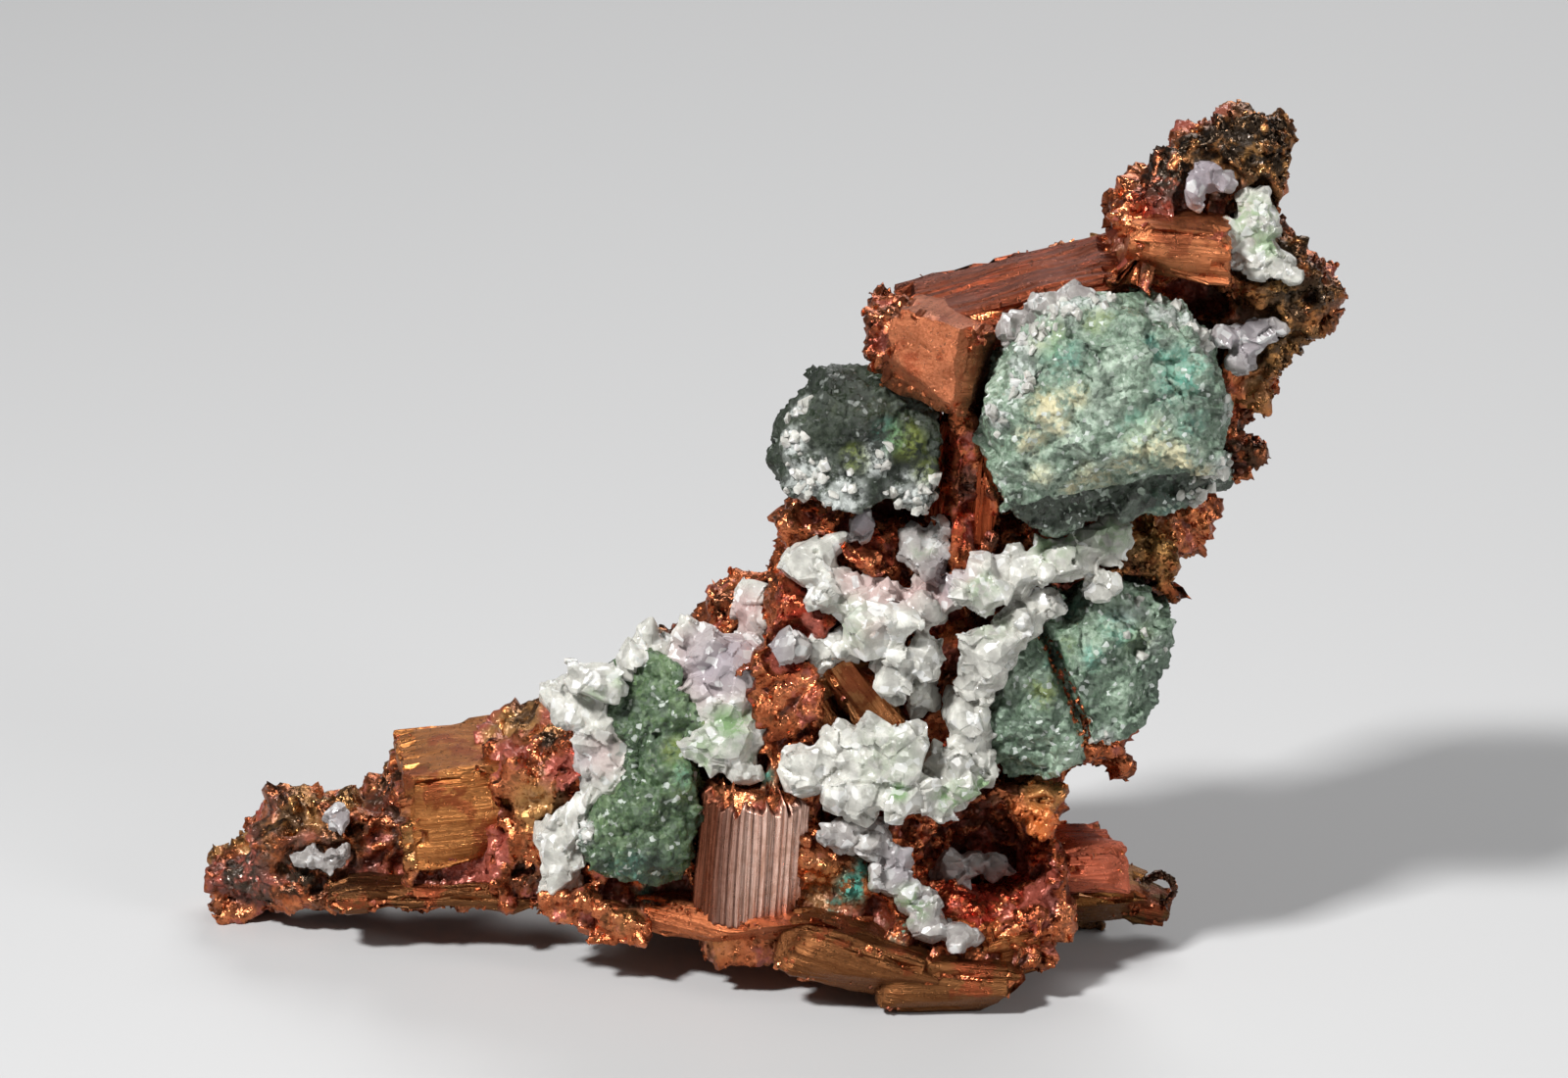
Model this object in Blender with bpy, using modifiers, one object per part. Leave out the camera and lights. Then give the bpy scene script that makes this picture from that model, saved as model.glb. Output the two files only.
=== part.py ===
"""A native copper nugget: one hackly, L-shaped mass of intergrown copper crystals that holds
four green rock fragments and clusters of small milky quartz crystals.

Places are written as they look from the front, in millimetres: across (to the right), up (on the
tilted picture plane) and depth (away from the viewer). seen_at() turns them into metres, +Z up.
"""

import math
import random

import bmesh
import bpy
from mathutils import Matrix, Vector

MM = 0.001

# Driving dimensions
VIEW_TILT = math.radians(18)  # how far the front view looks down
POCKET_GROWTH = 0.55  # mm, how much wider a pocket is modelled than the piece in it
COPPER_VOXEL = 0.5 * MM
COPPER_LUMPS = 0.9 * MM
COPPER_TRIANGLES = 1800
STONE_VOXEL = 0.5 * MM
STONE_ROUGHNESS = 1.1 * MM
STONE_TRIANGLES = 260
POCKET_TRIANGLES = 110
BLOCK_CHAMFER = 0.14  # share of a copper block's smallest side
GRAIN_CORNERS = 8
GRAIN_JITTER = 0.32

COLOURS = {
    "copper": ((0.60, 0.24, 0.12), 0.42, 1.0),
    "stone": ((0.28, 0.38, 0.29), 0.85, 0.0),
    "quartz": ((0.84, 0.87, 0.82), 0.25, 0.0),
}

# Hackly copper, fused and roughened: across, up, depth of the centre, width, height, thickness,
# turn (degrees, anticlockwise as seen), yaw (degrees about the vertical)
LEFT_ARM = [
    (-27.4, 2.9, 5.0, 4.2, 3.4, 4.2, 4, 0),
    (-25.8, 4.7, 4.6, 3.2, 3.8, 4.6, 12, 8),
    (-25.3, 7.1, 4.6, 1.8, 2.4, 2.8, -12, 0),
    (-22.6, 5.0, 4.4, 7.6, 5.2, 6.4, 4, 0),
    (-20.6, 7.2, 4.6, 4.6, 1.8, 4.6, 14, 0),
    (-16.3, 9.0, 4.2, 7.0, 2.6, 6.4, 18, 0),
    (-12.0, 6.9, 2.4, 5.2, 8.6, 9.0, -3, 0),
    (-12.4, 11.0, 4.6, 5.8, 2.4, 4.4, 22, 0),
    (-6.7, 7.3, 0.4, 9.4, 9.2, 9.0, 2, 0),
    (-8.3, 11.5, 2.4, 6.0, 4.8, 6.0, 24, 0),
]
BASE = [
    (4.4, 3.4, -3.4, 7.6, 7.6, 7.2, 2, 0),
    (10.0, 1.2, -5.6, 9.4, 3.0, 6.4, 4, 0),
    (9.6, 5.2, 2.4, 10.4, 8.2, 6.4, 0, 0),
    (13.3, 5.0, -2.4, 3.4, 8.0, 8.0, 12, 0),
    (12.8, 7.4, -3.0, 3.6, 4.6, 6.4, -20, 0),
    (9.4, 8.3, -2.4, 6.0, 2.0, 6.4, 4, 0),
    (18.4, 3.4, 1.2, 3.8, 1.4, 2.6, -28, 0),
    (20.3, 2.8, 0.4, 1.7, 1.5, 1.9, 20, 0),
    (0.5, 8.6, 4.4, 16.0, 12.0, 8.4, 0, 0),
]
COLUMN = [
    (5.2, 11.6, 1.2, 12.4, 13.0, 9.0, 0, 0),
    (9.0, 13.6, -1.9, 3.4, 8.2, 5.0, 4, 0),
    (0.7, 11.8, -4.0, 4.0, 8.0, 5.2, 5, 0),
    (0.6, 8.6, -4.6, 4.2, 4.2, 4.4, 15, 0),
    (1.2, 16.3, -3.2, 3.4, 7.2, 5.2, -18, 0),
    (1.0, 18.9, -1.6, 2.4, 4.4, 4.2, -30, 0),
    (-2.3, 17.5, 0.2, 1.8, 3.0, 2.4, 8, 0),
    (-2.5, 14.2, 1.2, 8.4, 5.8, 6.4, 20, 0),
    (-0.4, 16.4, 1.0, 4.4, 5.6, 5.4, 30, 0),
    (6.0, 17.4, 1.6, 10.0, 6.0, 8.0, 0, 0),
    (12.6, 15.8, 3.0, 10.4, 12.6, 8.0, 0, 0),
    (16.2, 20.6, 2.6, 8.4, 7.0, 7.0, 0, 0),
    (15.8, 11.6, 3.0, 5.4, 4.4, 5.4, 12, 0),
]
UPPER_ARM = [
    (6.0, 20.7, 0.0, 9.8, 4.8, 7.0, 0, 0),
    (2.6, 21.4, -1.4, 4.2, 4.2, 4.6, 10, 0),
    (4.2, 19.9, -3.9, 4.6, 2.2, 3.0, -18, 0),
    (9.0, 26.7, -3.2, 4.2, 1.9, 4.2, 0, 0),
    (5.4, 25.4, 2.2, 6.4, 7.4, 6.0, 0, 0),
    (6.1, 30.4, -1.8, 2.4, 6.0, 5.0, 0, 0),
    (8.8, 28.0, -2.8, 5.6, 2.0, 5.2, -4, 0),
    (15.4, 33.9, 0.8, 6.4, 3.0, 6.0, 16, 0),
    (16.3, 33.6, -2.6, 6.0, 2.2, 4.6, 10, 0),
    (19.6, 38.0, 0.2, 5.2, 2.8, 5.0, 28, 0),
    (20.3, 39.3, 0.6, 3.4, 2.6, 3.4, 20, 0),
    (22.5, 40.2, 1.0, 4.4, 4.2, 4.2, 30, 0),
    (25.2, 41.5, 1.0, 2.4, 2.5, 2.6, 12, 0),
    (24.6, 39.8, 0.6, 3.4, 3.4, 3.4, -15, 0),
    (24.0, 36.8, 2.2, 3.2, 5.4, 4.6, 0, 0),
    (21.8, 33.4, 3.4, 5.0, 4.6, 4.6, 10, 0),
    (25.6, 34.4, 0.6, 6.0, 4.0, 5.2, -38, 0),
    (27.4, 32.9, 0.0, 3.6, 1.7, 2.6, 12, 0),
    (26.2, 31.9, 0.2, 4.6, 2.4, 4.0, 38, 0),
    (23.8, 30.4, 1.0, 4.2, 5.2, 4.6, 0, 0),
    (24.0, 28.7, 0.6, 2.8, 2.4, 3.0, 30, 0),
    (22.8, 26.4, 1.0, 2.2, 5.0, 4.2, 0, 0),
    (24.0, 25.5, 0.6, 2.3, 1.9, 2.0, -15, 0),
    (18.8, 20.0, -0.4, 3.8, 5.0, 5.2, 10, 0),
    (16.7, 19.2, -1.0, 4.2, 2.4, 5.2, 18, 0),
    (16.5, 27.4, 3.4, 12.4, 13.4, 8.0, 0, 0),
]

# Flat-faced copper crystals, joined on after the rest is roughened: the same values, then pitch
# (degrees about the left-right axis, positive shows more of the top)
CRYSTALS = {
    "facet block": (-16.2, 6.2, 3.6, 6.6, 6.8, 8.6, 3, 6, 0),
    "left ledge": (-7.9, 2.4, -2.2, 6.0, 1.8, 7.6, -14, -20, 0),
    "front ledge": (-0.4, 1.9, -4.6, 11.6, 2.0, 7.4, -1, -33, 0),
    "keel taper": (4.6, 0.0, -7.9, 7.4, 2.2, 5.0, -16, -4, 0),
    "keel": (9.3, -1.3, -7.9, 7.6, 2.9, 5.0, -2, 0, 0),
    "keel heel": (11.6, 0.6, -5.4, 3.4, 2.6, 6.4, 6, 20, 0),
    "pink block": (16.0, 4.6, -2.4, 3.8, 2.5, 4.6, -6, 24, 0),
    "right limb": (16.4, 2.7, 1.2, 6.6, 2.2, 4.2, -6, 0, 8),
    "limb tip": (19.6, 2.1, 1.6, 2.8, 1.7, 2.8, -16, 0, 8),
    "limb foot": (15.8, 2.0, 3.6, 2.8, 2.2, 3.4, 0, 10, 0),
    "back foot": (4.6, 4.6, 9.0, 7.6, 4.6, 5.4, 0, 14, 0),
    "diagonal plate": (5.1, 12.9, -4.1, 2.3, 5.8, 2.6, 35, 0, 0),
    "groove plate": (3.2, 11.4, -3.6, 1.7, 6.2, 3.2, 28, 0, 0),
    "neck strip": (10.0, 23.6, -2.6, 2.4, 8.4, 5.2, -3, 10, 0),
    "block end": (8.6, 30.3, -3.8, 4.8, 4.6, 7.0, -14, -14, -6),
    "long ridge": (12.4, 32.9, -0.6, 11.6, 3.2, 6.4, 15, 0, 8),
    "upper block": (20.5, 36.0, -1.8, 5.2, 2.8, 5.0, -5, 0, 0),
    "rear column": (5.8, 16.6, 6.2, 9.4, 8.4, 6.0, 22, 12, 0),
    "rear wedge": (-4.4, 9.6, 6.2, 8.0, 7.4, 7.0, 34, -18, 0),
    "rear slab": (16.8, 31.0, 5.6, 10.4, 7.4, 5.2, 15, -10, 0),
    "rear step": (15.0, 21.6, 6.0, 6.4, 8.6, 5.6, -24, 16, 0),
    "rear shoulder": (-14.6, 8.0, 7.4, 6.0, 4.4, 4.6, 28, 10, 0),
}
CRYSTAL_CHAMFER = 0.06

# The curved striated sheet: an upright half-buried cylinder on the front of the base
SHEET_CENTRE = (-0.9, 4.6, -5.2)
SHEET_RADIUS = 2.7
SHEET_HEIGHT = 9.6
SHEET_TURN = -4
SHEET_SIDES = 20

# Pits in the copper: across, up, depth of the middle, width, height, turn
PITS = [
    (-25.6, 5.3, 1.8, 1.8, 1.3, 20), (-23.6, 6.6, 1.4, 1.4, 1.1, 0),
    (-21.1, 5.2, 0.8, 1.8, 2.0, -20), (-12.7, 3.9, -2.0, 1.5, 1.4, 15),
    (-11.3, 10.7, -2.2, 1.5, 1.1, 0), (-3.1, 5.6, -3.6, 1.7, 6.6, -4),
    (3.6, 13.6, -6.4, 1.3, 2.6, 40), (7.8, 12.0, -5.2, 1.6, 2.0, 0),
]

# Rock slabs: front depth, back depth, pitch and yaw of the slab in degrees, then its outline
GREEN_STONES = {
    "green_stone_large": [
        (-8.0, -0.8, 0, 0, [
            (12.4, 30.6), (14.5, 31.8), (16.0, 32.2), (18.2, 31.8), (20.0, 31.2), (21.3, 30.2),
            (22.1, 29.0), (22.6, 27.6), (22.7, 26.2), (22.4, 24.8), (22.6, 23.6), (21.5, 22.3),
            (19.7, 21.9), (18.2, 22.1), (16.2, 21.3), (14.0, 20.7), (12.5, 21.3), (11.7, 22.8),
            (11.1, 24.6), (10.9, 26.6), (11.2, 28.4), (11.6, 29.6),
        ]),
        (-9.6, -4.0, 7, -5, [
            (13.0, 29.9), (16.2, 30.8), (19.0, 30.2), (21.2, 28.5), (22.0, 26.6), (21.5, 24.6),
            (19.0, 24.2), (17.2, 24.5), (15.2, 24.1), (13.5, 23.4), (12.2, 23.6), (11.7, 25.6),
            (12.2, 28.2),
        ]),
    ],
    "green_stone_small": [
        (-5.8, -0.4, -6, 6, [
            (0.7, 25.0), (1.2, 26.4), (1.9, 27.6), (3.0, 28.3), (4.7, 28.5), (6.5, 28.0),
            (7.7, 27.2), (8.3, 26.4), (8.6, 25.4), (8.3, 24.1), (8.1, 22.6), (7.0, 22.3),
            (5.5, 23.1), (3.7, 22.5), (2.7, 22.8), (1.0, 23.1), (0.6, 24.1),
        ]),
    ],
    "green_stone_lobed": [
        (-5.6, 0.6, -4, 8, [
            (15.0, 16.6), (15.7, 17.7), (17.7, 18.2), (19.0, 17.8), (19.7, 16.6), (20.0, 15.3),
            (19.7, 13.6), (19.0, 11.8), (18.2, 11.1), (17.2, 10.6), (16.3, 11.3), (15.6, 12.8),
            (14.7, 14.1), (14.5, 15.3),
        ]),
        (-6.4, -0.4, 6, -6, [
            (12.3, 15.3), (13.7, 16.4), (15.3, 16.6), (15.9, 14.6), (15.7, 12.8), (16.0, 11.3),
            (15.7, 9.8), (14.2, 9.0), (12.7, 9.1), (11.6, 9.8), (11.4, 11.6), (11.9, 13.1),
            (12.0, 14.1),
        ]),
    ],
    "green_stone_left": [
        (-6.0, -1.4, -6, -4, [
            (-9.0, 13.0), (-7.7, 14.1), (-6.0, 14.5), (-4.4, 14.2), (-4.2, 12.3), (-2.7, 12.5),
            (-2.5, 11.5), (-4.2, 10.8), (-4.2, 8.6), (-6.5, 8.2), (-7.0, 10.3), (-8.0, 11.7),
        ]),
        (-7.0, -2.0, 4, 0, [
            (-8.5, 7.6), (-6.7, 8.8), (-4.7, 9.3), (-3.7, 8.6), (-3.7, 6.6), (-4.2, 4.6),
            (-4.7, 3.7), (-6.7, 3.5), (-9.0, 3.8), (-9.6, 5.1), (-9.2, 6.6),
        ]),
    ],
}

# Quartz grains: across, up, depth of the centre, width, height, turn in degrees
QUARTZ = {
    "quartz_left_drift": [
        (-8.9, 13.9, -4.6, 3.6, 1.9, -4), (-10.0, 12.6, -3.2, 2.4, 2.4, 20),
        (-8.9, 12.0, -3.4, 2.6, 3.2, 0), (-8.3, 10.6, -3.6, 2.8, 3.6, 12),
        (-7.6, 9.2, -4.2, 2.6, 2.8, -30), (-8.6, 8.0, -3.8, 2.6, 3.0, -30),
        (-9.6, 6.7, -3.8, 2.6, 3.6, -30), (-10.5, 5.2, -3.4, 2.6, 3.0, 30),
        (-10.6, 3.9, -3.6, 2.3, 2.6, 25),
    ],
    "quartz_left_crown": [
        (-6.0, 15.2, -2.8, 3.6, 2.3, 15), (-3.6, 15.3, -3.8, 4.2, 2.8, 8),
        (-1.9, 14.2, -4.3, 3.4, 3.6, 0), (-2.6, 12.8, -4.9, 4.0, 2.6, 25),
        (-1.0, 12.9, -4.5, 2.0, 4.0, 0), (-2.3, 10.8, -6.2, 4.0, 2.2, 8),
        (-1.3, 11.6, -5.2, 2.6, 2.8, 20), (-1.0, 9.5, -6.2, 1.5, 1.6, 30),
    ],
    "quartz_crest": [
        (-0.8, 18.1, -1.9, 2.2, 2.0, 0), (-0.5, 16.8, -2.4, 2.0, 2.4, 20),
    ],
    "quartz_centre": [
        (2.2, 19.8, -4.8, 2.8, 2.8, 10), (3.3, 18.6, -5.2, 3.0, 2.8, -35),
        (5.4, 18.1, -4.8, 3.9, 2.3, -8), (5.4, 16.8, -6.4, 3.8, 2.8, 12),
        (7.5, 17.6, -5.2, 3.2, 2.3, -15), (9.2, 18.3, -4.3, 2.6, 2.0, 10),
        (7.6, 15.2, -6.4, 2.5, 2.4, 0), (6.2, 14.2, -6.4, 2.0, 2.4, 15),
        (3.4, 15.5, -4.9, 3.2, 2.2, -12), (7.7, 13.4, -4.9, 2.0, 2.1, 30),
    ],
    "quartz_pale_blade": [
        (1.1, 15.6, -6.0, 2.3, 1.9, 20),
    ],
    "quartz_row": [
        (1.8, 9.2, -7.0, 2.4, 2.4, 20), (3.0, 10.1, -7.0, 1.9, 2.5, -12),
        (4.5, 10.0, -7.3, 2.7, 3.0, 15), (5.5, 11.1, -7.3, 2.8, 2.2, 0),
        (6.9, 10.3, -7.8, 2.3, 3.1, -15), (4.7, 8.4, -7.8, 3.5, 2.6, 5),
        (7.2, 8.2, -7.8, 4.2, 2.5, 4), (9.4, 8.9, -7.0, 3.8, 2.4, 8),
        (8.9, 9.6, -6.2, 3.2, 1.9, 5),
    ],
    "quartz_ledge": [
        (3.9, 6.1, -7.0, 2.4, 2.4, 0), (5.3, 5.8, -7.0, 2.2, 2.6, 20),
        (6.2, 4.2, -7.1, 2.4, 2.5, 30), (7.2, 2.9, -7.6, 1.9, 2.3, 10),
        (8.2, 1.5, -8.4, 2.1, 1.9, 0), (9.6, 1.0, -8.7, 2.1, 1.6, -10),
    ],
    "quartz_cavity": [
        (9.4, 4.0, -2.0, 1.9, 2.2, 0), (10.5, 4.3, -2.2, 1.6, 1.5, 15),
        (11.6, 4.1, -2.2, 1.7, 1.7, -15), (9.8, 2.7, -2.3, 1.5, 1.7, 25),
    ],
    "quartz_neck": [
        (7.4, 20.9, -4.1, 1.8, 2.1, 0), (8.6, 21.3, -4.3, 1.6, 1.8, -20),
        (8.0, 19.9, -4.5, 2.2, 2.0, 15),
    ],
    "quartz_underlip": [
        (10.9, 18.5, -6.2, 2.7, 2.5, 20), (12.4, 19.5, -5.0, 3.4, 2.3, 10),
        (14.5, 19.9, -5.2, 4.0, 2.4, 8), (16.2, 20.7, -4.6, 3.0, 2.2, 25),
        (17.5, 21.3, -4.5, 1.9, 2.1, 0),
    ],
    "quartz_right_drift": [
        (11.2, 15.6, -6.6, 3.6, 2.2, 35), (12.4, 16.8, -5.8, 3.1, 2.2, 25),
        (13.5, 17.7, -4.9, 3.4, 2.0, 10), (10.7, 14.4, -5.8, 2.4, 2.6, 8),
    ],
    "quartz_right_edge": [
        (10.2, 11.9, -5.8, 2.4, 3.2, 25), (10.4, 10.3, -5.6, 2.2, 2.4, 0),
    ],
    "quartz_knob": [
        (16.6, 18.8, -5.2, 1.9, 1.7, 20),
    ],
    "quartz_brow": [
        (12.3, 31.7, -5.3, 1.9, 1.8, 20), (13.7, 32.6, -5.4, 2.0, 1.7, 30),
        (15.2, 33.1, -5.2, 2.2, 1.7, 5),
    ],
    "quartz_top": [
        (24.3, 37.9, -0.9, 2.0, 2.2, 15), (24.6, 36.8, -1.2, 2.0, 2.0, 0),
        (23.7, 36.2, -1.2, 2.2, 2.2, 30), (24.5, 35.4, -1.7, 2.7, 1.9, 10),
        (25.5, 34.9, -2.0, 2.0, 1.8, -25),
    ],
    "quartz_shoulder": [
        (21.9, 39.5, -1.5, 2.1, 1.9, 0), (21.3, 38.4, -1.7, 1.6, 2.1, 10),
        (22.8, 39.0, -1.4, 1.6, 1.8, 30),
    ],
    "quartz_flank": [
        (22.8, 31.3, -2.0, 1.9, 1.8, 10), (23.9, 30.3, -1.9, 2.1, 1.9, 40),
        (24.6, 31.6, -1.8, 2.9, 1.8, 10),
    ],
    "quartz_arm": [
        (-24.2, 4.5, 0.8, 1.8, 1.3, 10), (-23.1, 4.3, 0.6, 1.9, 1.1, -5),
        (-22.2, 4.5, 0.8, 1.2, 1.2, 0),
    ],
    "quartz_arm_grain": [
        (-22.2, 6.6, 0.8, 1.4, 1.6, 10),
    ],
    "quartz_grey_grain": [
        (4.6, 21.8, -3.9, 1.4, 1.7, 0),
    ],
}


def seen_at(across, up, depth):
    """The point, in metres, that shows at (across, up) in the tilted front view and lies this deep."""
    height = (up - depth * math.sin(VIEW_TILT)) / math.cos(VIEW_TILT)
    return Vector((across, depth, height)) * MM


def turned(degrees, yaw=0.0, pitch=0.0):
    """A turn anticlockwise in the front view, after a pitch and a turn about the vertical."""
    return (
        Matrix.Rotation(-math.radians(degrees), 4, "Y")
        @ Matrix.Rotation(math.radians(yaw), 4, "Z")
        @ Matrix.Rotation(math.radians(pitch), 4, "X")
    )


def material(name):
    """A Principled material with the colour, roughness and metallic value of one substance."""
    made = bpy.data.materials.get(name)
    if made is None:
        colour, roughness, metallic = COLOURS[name]
        made = bpy.data.materials.new(name)
        made.use_nodes = True
        shader = made.node_tree.nodes["Principled BSDF"]
        shader.inputs["Base Color"].default_value = (*colour, 1.0)
        shader.inputs["Roughness"].default_value = roughness
        shader.inputs["Metallic"].default_value = metallic
        made.diffuse_color = (*colour, 1.0)
    return made


def object_of(bm, name, collection):
    """A new object that holds this bmesh, linked to the collection."""
    bmesh.ops.recalc_face_normals(bm, faces=bm.faces)
    mesh = bpy.data.meshes.new(name)
    bm.to_mesh(mesh)
    bm.free()
    obj = bpy.data.objects.new(name, mesh)
    collection.objects.link(obj)
    return obj


def helper_of(bm, name, collection):
    """The same, for a shape that only joins or cuts others and is never rendered."""
    obj = object_of(bm, name, collection)
    obj.hide_render = True
    obj.display_type = "WIRE"
    return obj


def remove_all(collection):
    """Removes the collection's objects."""
    for obj in list(collection.objects):
        bpy.data.objects.remove(obj)


def apply_modifiers(obj):
    """Replaces the object's mesh by its evaluated mesh and drops its modifiers."""
    bpy.context.view_layer.update()
    graph = bpy.context.evaluated_depsgraph_get()
    mesh = bpy.data.meshes.new_from_object(obj.evaluated_get(graph))
    obj.modifiers.clear()
    obj.data = mesh


def keep_largest_body(obj):
    """Deletes every loose fragment and inner bubble that remeshing or cutting left."""
    bm = bmesh.new()
    bm.from_mesh(obj.data)
    unseen = set(bm.verts)
    bodies = []
    while unseen:
        body = set()
        front = [unseen.pop()]
        while front:
            vertex = front.pop()
            body.add(vertex)
            for edge in vertex.link_edges:
                other = edge.other_vert(vertex)
                if other in unseen:
                    unseen.remove(other)
                    front.append(other)
        bodies.append(body)
    largest = max(bodies, key=len)
    fragments = [vertex for vertex in bm.verts if vertex not in largest]
    bmesh.ops.delete(bm, geom=fragments, context="VERTS")
    bm.to_mesh(obj.data)
    bm.free()


def remesh(obj, voxel):
    modifier = obj.modifiers.new("Join shapes", "REMESH")
    modifier.mode = "VOXEL"
    modifier.voxel_size = voxel
    apply_modifiers(obj)
    keep_largest_body(obj)


def roughen(obj, kind, grain, strength):
    """Pushes the surface in and out by a noise of this grain size."""
    texture = bpy.data.textures.new(f"{obj.name} {kind.lower()}", kind)
    texture.noise_scale = grain
    modifier = obj.modifiers.new("Roughen", "DISPLACE")
    modifier.texture = texture
    modifier.strength = strength
    apply_modifiers(obj)


def swell(obj, by):
    """Moves the whole surface outwards."""
    modifier = obj.modifiers.new("Swell", "DISPLACE")
    modifier.mid_level = 0.0
    modifier.strength = by
    apply_modifiers(obj)


def thin_out(obj, triangles):
    """Reduces the mesh to about this many triangles."""
    count = sum(len(face.vertices) - 2 for face in obj.data.polygons)
    modifier = obj.modifiers.new("Thin out", "DECIMATE")
    modifier.ratio = min(1.0, triangles / count)
    modifier.use_collapse_triangulate = True
    apply_modifiers(obj)


def boolean(obj, operation, operand):
    """Joins or cuts the object with another object, or with every object of a collection."""
    modifier = obj.modifiers.new(operation.title(), "BOOLEAN")
    modifier.operation = operation
    modifier.solver = "EXACT"
    if isinstance(operand, bpy.types.Collection):
        modifier.operand_type = "COLLECTION"
        modifier.collection = operand
    else:
        modifier.object = operand
    apply_modifiers(obj)


def add_block(bm, chamfer, across, up, depth, width, height, thickness, turn, yaw, pitch=0):
    """One copper crystal: a box whose edges are chamfered by this share of its smallest side."""
    block = bmesh.new()
    size = Vector((width, thickness, height)) * MM
    bmesh.ops.create_cube(block, size=1.0, matrix=Matrix.Diagonal((*size, 1.0)))
    width_cut = chamfer * min(size)
    bmesh.ops.bevel(block, geom=block.edges[:], offset=width_cut, segments=1, affect="EDGES")
    place = Matrix.Translation(seen_at(across, up, depth)) @ turned(turn, yaw, pitch)
    bmesh.ops.transform(block, matrix=place, verts=block.verts)
    add_bmesh(bm, block)


def add_bmesh(bm, other):
    """Adds the other bmesh's geometry to bm."""
    mesh = bpy.data.meshes.new("joining")
    other.to_mesh(mesh)
    other.free()
    bm.from_mesh(mesh)
    bpy.data.meshes.remove(mesh)


def add_sheet(bm):
    """The curved sheet's round front, as an upright cylinder sunk into the base."""
    place = Matrix.Translation(seen_at(*SHEET_CENTRE)) @ turned(SHEET_TURN)
    bmesh.ops.create_cone(
        bm, cap_ends=True, segments=SHEET_SIDES, radius1=SHEET_RADIUS * MM,
        radius2=SHEET_RADIUS * MM, depth=SHEET_HEIGHT * MM, matrix=place,
    )


def add_slab(bm, front, back, pitch, yaw, outline):
    """A flat outline, extruded from its front depth to its back depth and tilted."""
    corners = [seen_at(across, up, front) for across, up in outline]
    centre = sum(corners, Vector()) / len(corners)
    curve = bpy.data.curves.new("slab", "CURVE")
    curve.dimensions = "2D"
    curve.fill_mode = "BOTH"
    curve.extrude = (back - front) / 2 * MM
    spline = curve.splines.new("POLY")
    spline.points.add(len(corners) - 1)
    for point, corner in zip(spline.points, corners):
        point.co = (corner.x - centre.x, corner.z - centre.z, 0.0, 1.0)
    spline.use_cyclic_u = True
    obj = bpy.data.objects.new("slab", curve)
    bpy.context.scene.collection.objects.link(obj)
    tilt = Matrix.Rotation(math.radians(pitch), 4, "X") @ Matrix.Rotation(math.radians(yaw), 4, "Z")
    middle = Vector((centre.x, (front + back) / 2 * MM, centre.z))
    bpy.context.view_layer.update()
    mesh = bpy.data.meshes.new_from_object(obj)
    slab = bmesh.new()
    slab.from_mesh(mesh)
    bmesh.ops.remove_doubles(slab, verts=slab.verts, dist=0.01 * MM)
    upright = Matrix.Rotation(math.pi / 2, 4, "X")
    bmesh.ops.transform(slab, matrix=Matrix.Translation(middle) @ tilt @ upright, verts=slab.verts)
    add_bmesh(bm, slab)
    bpy.data.objects.remove(obj)


def add_grain(bm, rng, growth, across, up, depth, width, height, turn):
    """One quartz crystal: the convex hull of evenly spread, jittered corners on an ellipsoid."""
    thickness = 0.85 * min(width, height) + 0.15 * max(width, height)
    radii = Vector((width / 2 + growth, thickness / 2 + growth, height / 2 + growth)) * MM
    golden_angle = math.pi * (3 - math.sqrt(5))
    place = Matrix.Translation(seen_at(across, up, depth)) @ turned(turn)
    corners = []
    for index in range(GRAIN_CORNERS):
        level = 1 - 2 * (index + 0.5) / GRAIN_CORNERS
        angle = golden_angle * index
        ring = math.sqrt(1 - level * level)
        point = Vector((ring * math.cos(angle), ring * math.sin(angle), level))
        jitter = Vector([rng.uniform(-GRAIN_JITTER, GRAIN_JITTER) for _ in range(3)])
        point = (point + jitter).normalized() * 1.08
        corners.append(bm.verts.new(place @ Vector(p * r for p, r in zip(point, radii))))
    bmesh.ops.convex_hull(bm, input=corners)


def build_stones(nodes, pockets):
    """The green rock fragments, and a slightly larger copy of each as its pocket."""
    for name, slabs in GREEN_STONES.items():
        bm = bmesh.new()
        for slab in slabs:
            add_slab(bm, *slab)
        stone = object_of(bm, name, nodes)
        remesh(stone, STONE_VOXEL)
        roughen(stone, "VORONOI", 2.4 * MM, STONE_ROUGHNESS)
        bm = bmesh.new()
        bm.from_mesh(stone.data)
        pocket = helper_of(bm, f"{name} pocket", pockets)
        thin_out(stone, STONE_TRIANGLES)
        stone.data.materials.append(material("stone"))
        swell(pocket, (POCKET_GROWTH + 0.1) * MM)
        remesh(pocket, STONE_VOXEL)
        thin_out(pocket, POCKET_TRIANGLES)


def build_quartz(nodes, pockets, helpers):
    """Each quartz cluster is one solid, cut by the pockets of everything placed before it."""
    for name, grains in QUARTZ.items():
        rng = random.Random(name)
        bm = bmesh.new()
        add_grain(bm, rng, 0.0, *grains[0])
        cluster = object_of(bm, name, nodes)
        for grain in grains[1:]:
            bm = bmesh.new()
            add_grain(bm, rng, 0.0, *grain)
            helper_of(bm, f"{name} grain", helpers)
        if len(grains) > 1:
            boolean(cluster, "UNION", helpers)
        boolean(cluster, "DIFFERENCE", pockets)
        keep_largest_body(cluster)
        cluster.data.materials.append(material("quartz"))
        remove_all(helpers)
        rng = random.Random(name)
        for grain in grains:
            bm = bmesh.new()
            add_grain(bm, rng, POCKET_GROWTH, *grain)
            helper_of(bm, f"{name} pocket", pockets)


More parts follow.
